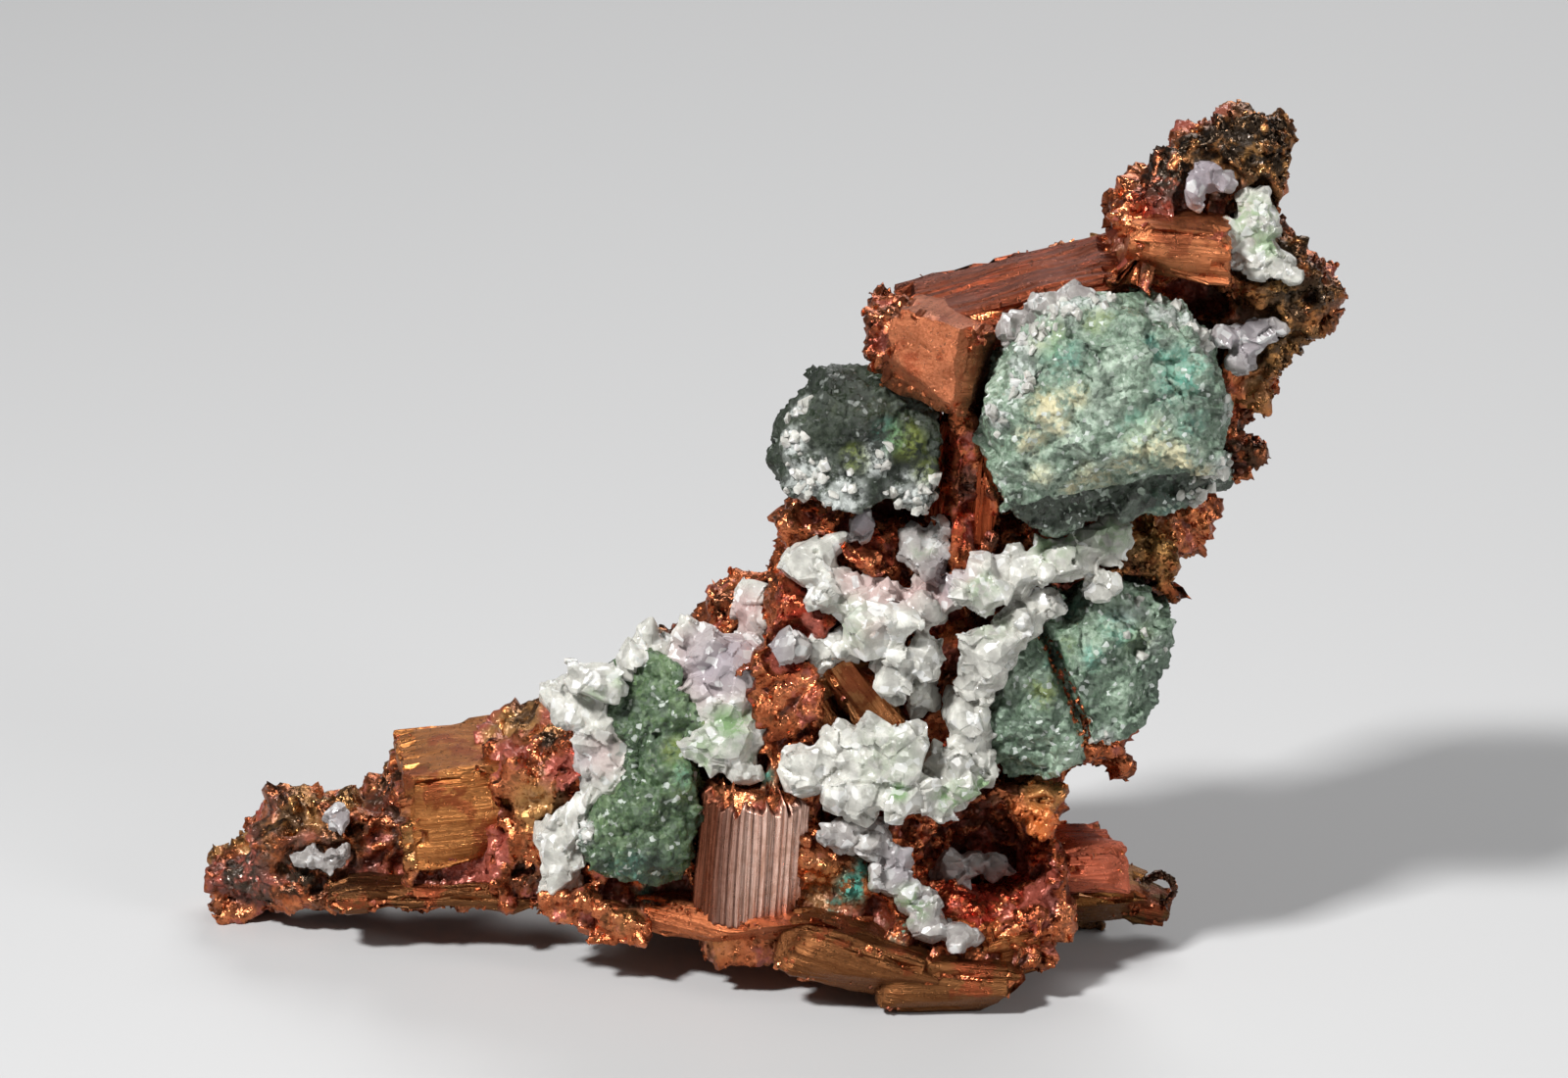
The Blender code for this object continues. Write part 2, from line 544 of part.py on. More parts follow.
def build_copper(nodes, pockets, helpers):
    """The copper mass: hackly blocks with flat-faced crystals on them, pitted and pocketed."""
    bm = bmesh.new()
    for block in LEFT_ARM + BASE + COLUMN + UPPER_ARM:
        add_block(bm, BLOCK_CHAMFER, *block)
    copper = object_of(bm, "copper", nodes)
    remesh(copper, COPPER_VOXEL)
    roughen(copper, "CLOUDS", 1.3 * MM, COPPER_LUMPS)
    thin_out(copper, COPPER_TRIANGLES)
    for name, crystal in CRYSTALS.items():
        bm = bmesh.new()
        add_block(bm, CRYSTAL_CHAMFER, *crystal)
        helper_of(bm, name, helpers)
    bm = bmesh.new()
    add_sheet(bm)
    helper_of(bm, "sheet", helpers)
    boolean(copper, "UNION", helpers)
    remove_all(helpers)
    rng = random.Random("pits")
    for pit in PITS:
        bm = bmesh.new()
        add_grain(bm, rng, 0.0, *pit)
        helper_of(bm, "pit", pockets)
    boolean(copper, "DIFFERENCE", pockets)
    bm = bmesh.new()
    below = Matrix.Translation((0, 0, -10 * MM)) @ Matrix.Diagonal((0.2, 0.2, 20 * MM, 1.0))
    bmesh.ops.create_cube(bm, size=1.0, matrix=below)
    ground = helper_of(bm, "ground", helpers)
    boolean(copper, "DIFFERENCE", ground)
    keep_largest_body(copper)
    copper.data.materials.append(material("copper"))


def stand_on_origin(nodes):
    """Hangs every node on one empty, moved so that the middle of the object's base is the origin."""
    corners = [vertex.co for obj in nodes.objects for vertex in obj.data.vertices]
    lowest = Vector(map(min, zip(*corners)))
    highest = Vector(map(max, zip(*corners)))
    stand = bpy.data.objects.new("nugget", None)
    stand.location = (-(lowest.x + highest.x) / 2, -(lowest.y + highest.y) / 2, -lowest.z)
    for obj in nodes.objects:
        obj.parent = stand
    nodes.objects.link(stand)


def main():
    for obj in list(bpy.data.objects):
        bpy.data.objects.remove(obj)
    nodes = bpy.data.collections.new("native copper nugget")
    pockets = bpy.data.collections.new("pockets")
    helpers = bpy.data.collections.new("helpers")
    for collection in (nodes, pockets, helpers):
        bpy.context.scene.collection.children.link(collection)
    build_stones(nodes, pockets)
    build_quartz(nodes, pockets, helpers)
    build_copper(nodes, pockets, helpers)
    remove_all(pockets)
    remove_all(helpers)
    stand_on_origin(nodes)


main()
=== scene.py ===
"""Native copper with milky quartz and green altered rock, as it looks on a studio table."""

import math
import random

import bmesh
import bpy
import numpy as np
from mathutils import Matrix, Vector, noise
from mathutils.bvhtree import BVHTree


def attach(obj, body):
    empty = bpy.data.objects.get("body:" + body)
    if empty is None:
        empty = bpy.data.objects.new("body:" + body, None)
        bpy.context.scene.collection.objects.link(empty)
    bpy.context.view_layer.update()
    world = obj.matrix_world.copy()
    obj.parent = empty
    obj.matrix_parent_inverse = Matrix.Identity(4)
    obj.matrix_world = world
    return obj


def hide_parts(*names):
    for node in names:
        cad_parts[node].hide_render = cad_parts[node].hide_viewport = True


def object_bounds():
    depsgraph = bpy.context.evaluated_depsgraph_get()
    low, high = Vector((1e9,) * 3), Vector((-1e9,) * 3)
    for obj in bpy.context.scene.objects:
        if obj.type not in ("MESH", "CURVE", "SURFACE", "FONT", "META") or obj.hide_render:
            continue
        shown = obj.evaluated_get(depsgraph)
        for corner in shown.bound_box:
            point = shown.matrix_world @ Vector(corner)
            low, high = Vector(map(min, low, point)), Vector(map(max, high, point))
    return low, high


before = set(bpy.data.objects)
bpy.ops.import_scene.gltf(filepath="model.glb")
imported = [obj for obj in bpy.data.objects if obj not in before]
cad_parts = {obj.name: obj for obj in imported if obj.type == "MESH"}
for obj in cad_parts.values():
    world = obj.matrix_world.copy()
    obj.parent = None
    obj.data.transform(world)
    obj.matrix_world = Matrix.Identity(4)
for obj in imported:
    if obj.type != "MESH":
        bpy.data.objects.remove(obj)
cad_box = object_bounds()


# The copper mass: one intergrown piece of native copper, hackly all over, with rounded knobs,
# creases and pits between a few flat crystal faces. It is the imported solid, remeshed finely, with
# the small forms raised on it.
MM = 0.001
VIEW_TILT = math.radians(18)  # how far the front view looks down
SIGHT = Vector((0, math.cos(VIEW_TILT), -math.sin(VIEW_TILT)))
FRONT_ZERO = Vector((0.152, -0.838, 0.0)) * MM  # where the front view's zero lies in the frame
PHOTO_ZERO = (785, 972)  # the front view's zero as a pixel of the photograph
PIXELS_PER_MM = 20
MASS_SET_BACK = 0.12  # mm
KNOBS = ((1.7, 0.30), (0.85, 0.18), (0.45, 0.08))  # width and height in mm
MASS_FACETS = ((2.2, 0.34), (0.9, 0.26))  # width in mm and slope
PIT_WIDTH = 1.5
PIT_DEPTH = 0.9
MASS_VOXEL = 0.19
SINK_BELOW_CRYSTALS = 0.3
SINK_MARGIN = 0.25  # how near a crystal the mass is sunk and has no relief of its own
MASS_TRIANGLES = 195000


def seen_at(across, up, depth):
    """The point that shows at (across, up) mm in the front view and lies this deep."""
    height = (up - depth * math.sin(VIEW_TILT)) / math.cos(VIEW_TILT)
    return Vector((across, depth, height)) * MM + FRONT_ZERO


def front_view(points):
    """Each point's across, up and depth in mm, as seen_at takes them."""
    across, depth, height = (points - np.array(FRONT_ZERO)).T / MM
    up = height * math.cos(VIEW_TILT) + depth * math.sin(VIEW_TILT)
    return np.stack((across, up, depth), axis=1)


def photo_mm(x, y):
    """A pixel of the photograph as across and up in mm."""
    return (x - PHOTO_ZERO[0]) / PIXELS_PER_MM, (PHOTO_ZERO[1] - y) / PIXELS_PER_MM


def photo_point(x, y, surface):
    """Where the sight line through this pixel of the photograph meets a surface."""
    start = seen_at(*photo_mm(x, y), 0)
    found = surface.ray_cast(start - SIGHT * 0.1, SIGHT)[0]
    return found or start


def piece_of(name, mesh):
    """An object at the origin that shows this mesh."""
    piece = bpy.data.objects.new(name, mesh)
    bpy.context.scene.collection.objects.link(piece)
    return piece


def mesh_from(bm, name):
    """A mesh with what was built in bm, which is freed."""
    mesh = bpy.data.meshes.new(name)
    bm.to_mesh(mesh)
    bm.free()
    return mesh


def merged_copy(name, node):
    """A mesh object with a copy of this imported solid, its corners merged."""
    bm = bmesh.new()
    bm.from_mesh(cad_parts[node].data)
    bmesh.ops.remove_doubles(bm, verts=bm.verts, dist=1e-6)
    mesh = mesh_from(bm, name)
    mesh.materials.clear()
    return piece_of(name, mesh)


def apply_modifiers(piece):
    """Makes the shown shape the piece's own mesh."""
    bpy.context.view_layer.update()
    graph = bpy.context.evaluated_depsgraph_get()
    mesh = bpy.data.meshes.new_from_object(piece.evaluated_get(graph))
    piece.modifiers.clear()
    piece.data = mesh
    return mesh


def remesh(piece, voxel):
    modifier = piece.modifiers.new("Fine mesh", "REMESH")
    modifier.mode = "VOXEL"
    modifier.voxel_size = voxel * MM
    return apply_modifiers(piece)


def thin_out(piece, triangles):
    """Reduces the piece to about this many triangles, the flat places first."""
    count = sum(len(face.vertices) - 2 for face in piece.data.polygons)
    if count > triangles:
        modifier = piece.modifiers.new("Thin out", "DECIMATE")
        modifier.ratio = triangles / count
        apply_modifiers(piece)
    return piece.data


def points_of(mesh):
    values = np.empty(len(mesh.vertices) * 3, np.float32)
    mesh.vertices.foreach_get("co", values)
    return values.reshape(-1, 3).astype(float)


def normals_of(mesh):
    values = np.empty(len(mesh.vertices) * 3, np.float32)
    mesh.vertex_normals.foreach_get("vector", values)
    return values.reshape(-1, 3).astype(float)


def move_points(mesh, points):
    """Sets the mesh's points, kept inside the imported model's box."""
    low, high = np.array(cad_box[0]), np.array(cad_box[1])
    mesh.vertices.foreach_set("co", np.clip(points, low, high).astype(np.float32).ravel())
    mesh.update()


def clouds(points, width, octaves=3, seed=0):
    """Soft noise, about -1 to 1, with patches this many mm wide."""
    scaled = points / (width * MM) + seed
    return np.array([noise.fractal(point, 0.7, 2.0, octaves) for point in scaled.tolist()])


def knobs(points, width, seed=0):
    """Rounded knobs this many mm wide, 1 on top and about 0 in the creases between them."""
    scaled = points / (width * MM) + seed
    nearest = np.array([noise.voronoi(point)[0][:2] for point in scaled.tolist()])
    return np.clip(nearest[:, 1] - nearest[:, 0], 0, 0.6) / 0.6


def facets(points, width, slope, seed=0):
    """Heights in mm of flat facets this many mm wide, each leaning its own way."""
    heights = []
    for point in (points / (width * MM) + seed).tolist():
        centre = noise.voronoi(point)[1][0]
        lean = noise.cell_vector(centre * 9) * 2 - Vector((1, 1, 1))
        heights.append((Vector(point) - centre).dot(lean))
    return np.array(heights) * width * slope


def fade(values, start, end):
    """0 at start, 1 at end, smooth between."""
    share = np.clip((values - start) / (end - start), 0, 1)
    return share * share * (3 - 2 * share)


def set_attribute(mesh, name, values):
    mesh.attributes.new(name, "FLOAT", "POINT").data.foreach_set("value", values.astype(np.float32))


def surface_of(*nodes):
    """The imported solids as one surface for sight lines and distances."""
    corners, faces = [], []
    for node in nodes:
        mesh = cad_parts[node].data
        faces += [[len(corners) + i for i in face.vertices] for face in mesh.polygons]
        corners += [vertex.co.copy() for vertex in mesh.vertices]
    return BVHTree.FromPolygons(corners, faces)


def distance_to(surface, points):
    """How far each point is from a surface, in mm."""
    return np.array([surface.find_nearest(point)[3] for point in points.tolist()]) / MM


def hollow_depth(mesh, rounds):
    """How far each point lies below its smoothed surroundings, in mm."""
    ends = np.empty(len(mesh.edges) * 2, np.int32)
    mesh.edges.foreach_get("vertices", ends)
    first, second = ends.reshape(-1, 2).T
    points = points_of(mesh)
    count = len(points)
    neighbours = np.bincount(first, minlength=count) + np.bincount(second, minlength=count)
    smooth = points.copy()
    for _ in range(rounds):
        total = [
            np.bincount(first, smooth[second, axis], count)
            + np.bincount(second, smooth[first, axis], count)
            for axis in range(3)
        ]
        smooth = (np.stack(total) / neighbours).T
    return np.einsum("ij,ij->i", smooth - points, normals_of(mesh)) / MM


def spots(points, surface, places):
    """0 to 1 round each place: pixel x, y, radius in mm and strength."""
    result = np.zeros(len(points))
    for x, y, radius, strength in places:
        away = np.linalg.norm(points - np.array(photo_point(x, y, surface)), axis=1) / MM
        result = np.maximum(result, strength * fade(away, radius * 1.25, radius * 0.35))
    return result


def cut_flat(points, faces, inset=0.0):
    """Brings every point that stands out past one of these flat faces, inset by some mm, onto it."""
    for across, up, depth, right, high in faces:
        normal = Matrix.Rotation(math.radians(right), 3, "Z") @ Matrix.Rotation(math.radians(-high), 3, "X")
        normal = np.array(normal @ Vector((0, -1, 0)))
        beyond = (points - np.array(seen_at(across, up, depth))) @ normal + inset * MM
        points = points - np.maximum(beyond, 0)[:, None] * normal
    return points


CRYSTALS = {
    # across, up, depth, width, height, thickness, turn, yaw, pitch, axis that the lines follow and
    # how far its edges are rounded
    "facet block": (-16.1, 7.9, 3.5, 5.9, 5.2, 8.7, 5, 6, 0, 0, 0.25),
    "arm rod": (-15.4, 2.95, 0.0, 15.0, 1.0, 3.6, 0.5, 0, 0, 0, 0.5),
    "left ledge": (-7.9, 2.4, -1.7, 6.0, 1.8, 6.4, -14, -20, 0, 0, 0.6),
    "front ledge": (-0.4, 1.9, -4.6, 11.6, 2.0, 7.4, -1, -33, 0, 0, 0.7),
    "keel taper": (4.6, -0.1, -7.9, 8.4, 3.0, 5.0, -17, -4, 0, 0, 0.9),
    "keel": (9.3, -1.3, -7.9, 7.6, 2.9, 5.0, -2, 0, 0, 0, 1.1),
    "keel heel": (11.6, 0.6, -5.4, 3.4, 2.6, 6.4, 6, 20, 0, 0, 0.8),
    "pink block": (16.0, 4.6, -2.4, 3.8, 2.5, 4.6, -6, 24, 0, 0, 0.4),
    "right limb": (16.4, 2.7, 1.2, 6.6, 2.2, 4.2, -6, 0, 8, 0, 0.7),
    "limb tip": (19.6, 2.1, 1.6, 2.8, 1.7, 2.8, -16, 0, 8, 0, 0.7),
    "back foot": (4.6, 4.6, 9.0, 7.6, 4.6, 5.4, 0, 14, 0, 0, 0.5),
    "diagonal plate": (5.1, 12.9, -4.1, 2.3, 5.8, 2.6, 35, 0, 0, 2, 0.25),
    "groove plate": (3.2, 11.4, -3.6, 1.7, 6.2, 3.2, 28, 0, 0, 2, 0.25),
    "neck strip": (10.1, 23.6, -2.4, 1.3, 8.4, 5.0, -3, 24, 0, 2, 0.4),
    "neck rib": (8.9, 24.6, -2.0, 1.0, 6.4, 4.6, -8, -10, 0, 2, 0.4),
    "block end": (8.6, 30.3, -3.8, 4.8, 4.6, 7.0, -14, -14, -6, 1, 0.3),
    "long ridge": (12.4, 32.9, -0.6, 11.6, 3.2, 6.4, 15, 0, 8, 0, 0.7),
    "upper block": (20.5, 36.0, -1.8, 5.2, 2.8, 5.0, -5, 0, 0, 0, 0.3),
    "rear column": (5.8, 16.6, 6.2, 9.4, 8.4, 6.0, 22, 12, 0, 2, 0.5),
    "rear wedge": (-4.4, 9.6, 6.2, 8.0, 7.4, 7.0, 34, -18, 0, 0, 0.4),
    "rear slab": (16.8, 31.0, 5.6, 10.4, 7.4, 5.2, 15, -10, 0, 0, 0.5),
    "rear step": (15.0, 21.6, 6.0, 6.4, 8.6, 5.6, -24, 16, 0, 2, 0.5),
    "rear shoulder": (-14.6, 8.0, 7.4, 6.0, 4.4, 4.6, 28, 10, 0, 0, 0.5),
}
REAR_CRYSTALS = (
    "rear column", "rear wedge", "rear slab", "rear step", "rear shoulder", "back foot",
)
REAR_CUTS = 9
CRYSTAL_CUTS = {
    # flat faces that cut a crystal: across, up and depth of a point on each, its lean right and up
    "facet block": [(-18.0, 9.6, -0.8, -30, 34), (-18.2, 7.6, -0.8, -52, 0), (-14.0, 6.0, -0.8, 30, -30)],
    "left ledge": [(-10.2, 2.4, -4.0, -58, -24), (-8.0, 1.9, -4.6, -6, -48)],
    "front ledge": [(-5.2, 1.2, -7.6, -50, -30), (0.0, 1.2, -8.4, 0, -52)],
    "keel": [
        (12.4, -1.6, -9.0, 82, -50), (4.9, -1.8, -8.0, -88, -70), (9.5, -2.4, -10.1, 4, -44),
        (12.4, -0.2, -10.1, 44, 14),
    ],
    "keel taper": [(4.0, -1.2, -10.0, -6, -46), (1.6, 1.0, -9.6, -46, 30)],
    "pink block": [(14.7, 5.5, -4.6, -34, 44), (17.4, 4.4, -4.0, 50, 16), (16.2, 3.6, -4.6, 6, -42)],
    "right limb": [(18.8, 3.4, 0.0, 34, 52), (17.4, 2.2, -0.8, 10, -46)],
    "block end": [(9.4, 30.4, -7.3, 42, 4), (8.0, 31.9, -7.2, -8, 46), (6.8, 29.4, -6.8, -44, -30)],
    "long ridge": [(7.8, 32.6, -2.0, -60, 36), (12.4, 33.6, -3.6, -4, 40)],
    "upper block": [(18.9, 36.6, -4.0, -40, 36), (18.8, 35.3, -4.2, -30, -40), (22.4, 36.3, -4.2, 36, 20)],
}
SHEET = (-0.9, 4.6, -5.2, 2.7, 9.6, -4)  # across, up, depth, radius, height, turn


def crystal_place(across, up, depth, turn, yaw, pitch):
    """A crystal's place: turned anticlockwise in the front view, after its yaw and pitch."""
    return (
        Matrix.Translation(seen_at(across, up, depth))
        @ Matrix.Rotation(-math.radians(turn), 4, "Y")
        @ Matrix.Rotation(math.radians(yaw), 4, "Z")
        @ Matrix.Rotation(math.radians(pitch), 4, "X")
    )


def through(matrix, points):
    """The points, each taken through a place's matrix."""
    return points @ matrix[:3, :3].T + matrix[:3, 3]


def inside_crystals(points, margin):
    """1 for each point inside a flat-faced crystal grown by this margin in mm, else 0."""
    across, up, depth, radius, height, turn = SHEET
    back = np.array(crystal_place(across, up, depth, turn, 0, 0).inverted())
    local = through(back, points) / MM
    within = np.hypot(local[:, 0], local[:, 1]) < radius + margin
    result = (within & (np.abs(local[:, 2]) < height / 2)).astype(float)
    for across, up, depth, width, height, thickness, turn, yaw, pitch, _, _ in CRYSTALS.values():
        back = np.array(crystal_place(across, up, depth, turn, yaw, pitch).inverted())
        half = (np.array((width, thickness, height)) / 2 + margin) * MM
        result[np.all(np.abs(through(back, points)) < half, axis=1)] = 1
    return result


def wear_corners(local, name, half, inset=0.0):
    """Cuts a rear crystal's corners with flat faces at random leans; all in its own axes, in mm."""
    if name not in REAR_CRYSTALS:
        return local
    rng = random.Random(name)
    for _ in range(REAR_CUTS):
        direction = np.array(Vector([rng.gauss(0, 1) for _ in range(3)]).normalized())
        reach = np.abs(direction) @ half * rng.uniform(0.62, 0.84)
        local = local - np.maximum(local @ direction - reach + inset, 0)[:, None] * direction
    return local


def sink_into_crystals(points, inset):
    """Takes the mass this many mm below the faces of its flat crystals, which then cover it."""
    points = points.copy()
    for name, values in CRYSTALS.items():
        across, up, depth, width, height, thickness, turn, yaw, pitch, _, rounding = values
        place = np.array(crystal_place(across, up, depth, turn, yaw, pitch))
        local = through(np.linalg.inv(place), points) / MM
        half = np.array((width, thickness, height)) / 2
        near = np.all(np.abs(local) < half + SINK_MARGIN, axis=1)
        rounding = max(rounding, inset + 0.1)
        core = half - rounding
        over = np.maximum(np.abs(local) - core, 0) * np.sign(local)
        reach = np.linalg.norm(over, axis=1)
        over *= (np.minimum(reach, rounding - inset) / np.maximum(reach, 1e-6))[:, None]
        sunk = wear_corners(np.clip(local, -core, core) + over, name, half, inset)
        points[near] = cut_flat(through(place, sunk * MM)[near], CRYSTAL_CUTS.get(name, []), inset)
    across, up, depth, radius, height, turn = SHEET
    place = np.array(crystal_place(across, up, depth, turn, 0, 0))
    local = through(np.linalg.inv(place), points) / MM
    out = np.hypot(local[:, 0], local[:, 1])
    near = (out < radius + SINK_MARGIN) & (np.abs(local[:, 2]) < height / 2 + SINK_MARGIN)
    local[:, :2] *= (np.minimum(out, radius - inset) / np.maximum(out, 1e-6))[:, None]
    local[:, 2] = np.minimum(local[:, 2], height / 2 - inset)
    points[near] = through(place, local[near] * MM)
    return points


STONES = ("green_stone_large", "green_stone_small", "green_stone_lobed", "green_stone_left")
QUARTZ_NODES = [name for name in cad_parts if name.startswith("quartz")]
guest_surface = surface_of(*STONES, *QUARTZ_NODES)
front_surface = surface_of(*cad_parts)

CAVITY = (11.0, 4.8, -5.6, 3.4, 4.2, 2.9)  # across, up, depth, then its three radii in mm


def carve(piece, across, up, depth, *radii):
    """Cuts an egg-shaped hollow with a rough wall into the piece."""
    bm = bmesh.new()
    bmesh.ops.create_icosphere(bm, subdivisions=3, radius=1.0)
    for vertex in bm.verts:
        rough = 1 + 0.25 * noise.noise(vertex.co * 2.2)
        vertex.co = Vector(c * r * rough * MM for c, r in zip(vertex.co, radii)) + seen_at(across, up, depth)
    cutter = piece_of("hollow", mesh_from(bm, "hollow"))
    modifier = piece.modifiers.new("Hollow", "BOOLEAN")
    modifier.operation = "DIFFERENCE"
    modifier.solver = "EXACT"
    modifier.object = cutter
    apply_modifiers(piece)
    bpy.data.objects.remove(cutter)


mass = merged_copy("copper_mass", "copper")
carve(mass, *CAVITY)
remesh(mass, MASS_VOXEL)
points = points_of(mass.data)
facing = normals_of(mass.data)
flat = inside_crystals(points, SINK_MARGIN)
loose = 1 - flat
guests_near = 1 - fade(distance_to(guest_surface, points), 0.5, 1.0)
rise = np.full(len(points), -MASS_SET_BACK)
for width, height in KNOBS:
    rise += height * (knobs(points, width) - 0.45)
for width, slope in MASS_FACETS:
    rise += facets(points, width, slope, seed=2)
pit_share = fade(clouds(points, 3.2, 2, seed=7), 0.05, 0.4)
rise -= PIT_DEPTH * pit_share * fade(knobs(points, PIT_WIDTH, seed=3), 0.25, 0.9)
rise *= loose * (1 - 0.6 * guests_near)
points = sink_into_crystals(points + facing * (rise * MM)[:, None], SINK_BELOW_CRYSTALS)
move_points(mass.data, points)
thin_out(mass, MASS_TRIANGLES)

points = points_of(mass.data)
move_points(mass.data, points)
loose = 1 - inside_crystals(points, 0.3)
hollow = hollow_depth(mass.data, 30)
COPPER_TINTS = {
    # spots of each colour: pixel x and y, radius in mm and strength
    "red": [
        (597, 780, 1.9, 1.0), (600, 812, 1.3, 1.0), (585, 745, 1.2, 0.8), (1010, 905, 3.4, 0.9),
        (950, 770, 2.4, 0.7), (820, 622, 2.2, 0.8), (985, 530, 1.8, 0.8), (975, 470, 1.6, 0.7),
        (898, 350, 1.2, 0.8), (965, 650, 1.8, 0.6), (1060, 860, 1.8, 0.6), (830, 690, 1.6, 0.6),
        (1170, 205, 1.8, 0.8), (1245, 405, 1.8, 0.8), (910, 545, 2.0, 0.5), (860, 560, 1.6, 0.5),
        (480, 830, 1.6, 0.6), (480, 895, 1.6, 0.5), (230, 895, 1.8, 0.5), (1150, 555, 1.2, 0.7),
    ],
    # dark: tarnish at the tips, and painted shade in the hole, the cavity and the recess left of the sheet
    "dark": [
        (1290, 150, 3.6, 1.0), (1235, 150, 3.0, 1.0), (1190, 175, 3.0, 1.0), (1255, 190, 2.6, 0.8),
        (1300, 250, 2.6, 0.9), (1325, 300, 3.4, 0.9), (1300, 360, 2.8, 0.8), (1190, 275, 2.0, 0.7),
        (1240, 330, 2.4, 0.8), (1260, 460, 2.4, 0.9), (1240, 400, 1.6, 0.6), (900, 345, 1.8, 0.7),
        (1195, 910, 2.4, 1.0), (260, 870, 2.0, 0.8), (345, 860, 2.4, 0.8), (280, 810, 1.8, 0.8),
        (235, 895, 2.4, 1.0), (305, 895, 2.6, 1.0), (360, 900, 1.6, 0.8), (250, 920, 1.8, 0.9),
        (560, 757, 0.9, 1.0), (725, 850, 2.0, 1.0), (1000, 850, 2.6, 0.8), (865, 720, 1.2, 0.8),
        (1150, 580, 1.6, 0.7), (990, 500, 1.6, 0.8), (245, 920, 1.4, 0.8), (535, 895, 1.2, 0.8),
        (880, 880, 1.5, 0.6), (400, 870, 1.2, 0.6), (320, 905, 1.4, 0.6), (1190, 620, 1.4, 0.9),
        (740, 610, 1.2, 0.7), (1010, 560, 1.2, 0.7), (960, 480, 1.2, 0.6), (790, 950, 1.5, 0.4),
    ],
    "gold": [
        (1165, 560, 2.8, 0.9), (1320, 280, 3.6, 0.9), (1290, 150, 3.6, 0.8), (1230, 160, 2.6, 0.6),
        (1300, 350, 3.0, 0.8), (545, 825, 1.8, 0.8), (1065, 800, 1.8, 0.7), (1285, 400, 1.8, 0.6),
        (850, 905, 2.0, 0.5), (420, 860, 2.0, 0.7), (1150, 905, 2.4, 0.7), (720, 950, 2.0, 0.4),
        (345, 880, 1.2, 0.6), (1105, 265, 1.4, 0.6), (1040, 320, 1.4, 0.6), (965, 395, 1.4, 0.6),
        (840, 590, 1.0, 0.6), (835, 700, 1.4, 0.6), (640, 930, 1.2, 0.5), (560, 740, 1.0, 0.6),
    ],
    "teal": [
        (870, 905, 1.0, 1.0), (852, 925, 0.6, 0.8), (915, 943, 0.8, 0.8), (880, 885, 0.6, 0.9),
        (718, 892, 1.2, 0.8), (748, 872, 0.7, 0.6), (778, 792, 0.7, 0.9), (660, 912, 0.7, 0.7),
        (945, 925, 0.6, 0.6), (330, 798, 0.7, 0.5), (1010, 590, 0.8, 0.6), (985, 690, 0.6, 0.5),
        (440, 885, 0.5, 0.5), (822, 800, 0.5, 0.7),
    ],
    "rose": [
        (235, 885, 2.4, 0.9), (300, 880, 1.8, 0.7), (480, 890, 2.0, 0.9), (500, 870, 1.4, 0.8),
        (515, 770, 1.8, 0.9), (440, 765, 1.8, 0.6), (360, 900, 1.4, 0.7), (830, 640, 1.2, 0.6),
        (1060, 905, 2.0, 0.7), (960, 340, 1.6, 0.4), (1180, 210, 1.6, 0.7), (800, 680, 1.2, 0.7),
        (565, 790, 1.4, 0.6), (1230, 230, 1.4, 0.5), (700, 960, 1.6, 0.4), (895, 600, 1.2, 0.5),
    ],
    # amber: painted light on the cavity's walls, elsewhere the copper's own orange
    "amber": [
        (1045, 850, 1.8, 1.0), (1060, 822, 1.4, 0.9), (1028, 832, 1.4, 0.8), (1058, 882, 1.3, 0.7),
        (985, 850, 1.4, 0.7), (1000, 935, 1.6, 0.5), (960, 640, 1.0, 0.6), (975, 400, 1.2, 0.4),
        (560, 730, 1.6, 0.8), (545, 820, 1.2, 0.6), (1160, 550, 0.8, 0.8),
    ],
}
CRUMBLY_PLACES = [
    (1290, 150, 4.0, 1.0), (1230, 160, 3.0, 1.0), (1180, 200, 2.4, 1.0), (1320, 290, 4.0, 1.0),
    (1290, 370, 3.0, 1.0), (1260, 450, 2.5, 1.0), (1160, 570, 2.6, 1.0), (1100, 290, 2.2, 1.0),
    (905, 350, 2.4, 1.0), (960, 400, 1.8, 1.0), (1050, 850, 2.6, 1.0), (1000, 920, 2.4, 0.8),
    (850, 925, 2.4, 1.0), (830, 730, 2.2, 0.8), (960, 450, 1.8, 1.0), (420, 880, 2.2, 0.8),
    (560, 870, 1.8, 0.8), (740, 620, 1.6, 1.0), (870, 550, 2.4, 0.8), (1190, 910, 1.8, 0.8),
    (960, 700, 2.4, 0.6), (560, 750, 1.8, 0.8), (470, 735, 1.6, 0.6),
]
PATCHES_BEHIND = {"dark": 0.8, "gold": 0.8, "rose": 1.0, "red": 0.7, "amber": 0.4}
set_attribute(mass.data, "hollow", hollow)
for name, places in COPPER_TINTS.items():
    behind = PATCHES_BEHIND.get(name, 0) * fade(front_view(points)[:, 2], 0.5, 2.5)
    patches = behind * fade(clouds(points, 4.5, 3, seed=len(places)), 0.05, 0.4)
    set_attribute(mass.data, name, np.maximum(patches, spots(points, front_surface, places)))
clear_of_guests = fade(distance_to(guest_surface, points), 0.35, 0.8)
crumbly = fade(clouds(points, 2.6, 3, seed=11), -0.15, 0.25)
tips = spots(points, front_surface, CRUMBLY_PLACES)
teal = spots(points, front_surface, COPPER_TINTS["teal"])
crumbly = np.maximum.reduce((0.7 * crumbly, 1.5 * tips, 2.0 * teal))
set_attribute(mass.data, "rough", loose * clear_of_guests * crumbly)


def new_material(name):
    """A material, its node tree and its Principled shader."""
    material = bpy.data.materials.new(name)
    material.use_nodes = True
    tree = material.node_tree
    return material, tree, tree.nodes["Principled BSDF"]


def set_inputs(tree, node, inputs):
    """Sets a node's inputs to values, or wires them from other nodes' sockets."""
    for name, value in inputs.items():
        if isinstance(value, bpy.types.NodeSocket):
            tree.links.new(value, node.inputs[name])
        else:
            node.inputs[name].default_value = value


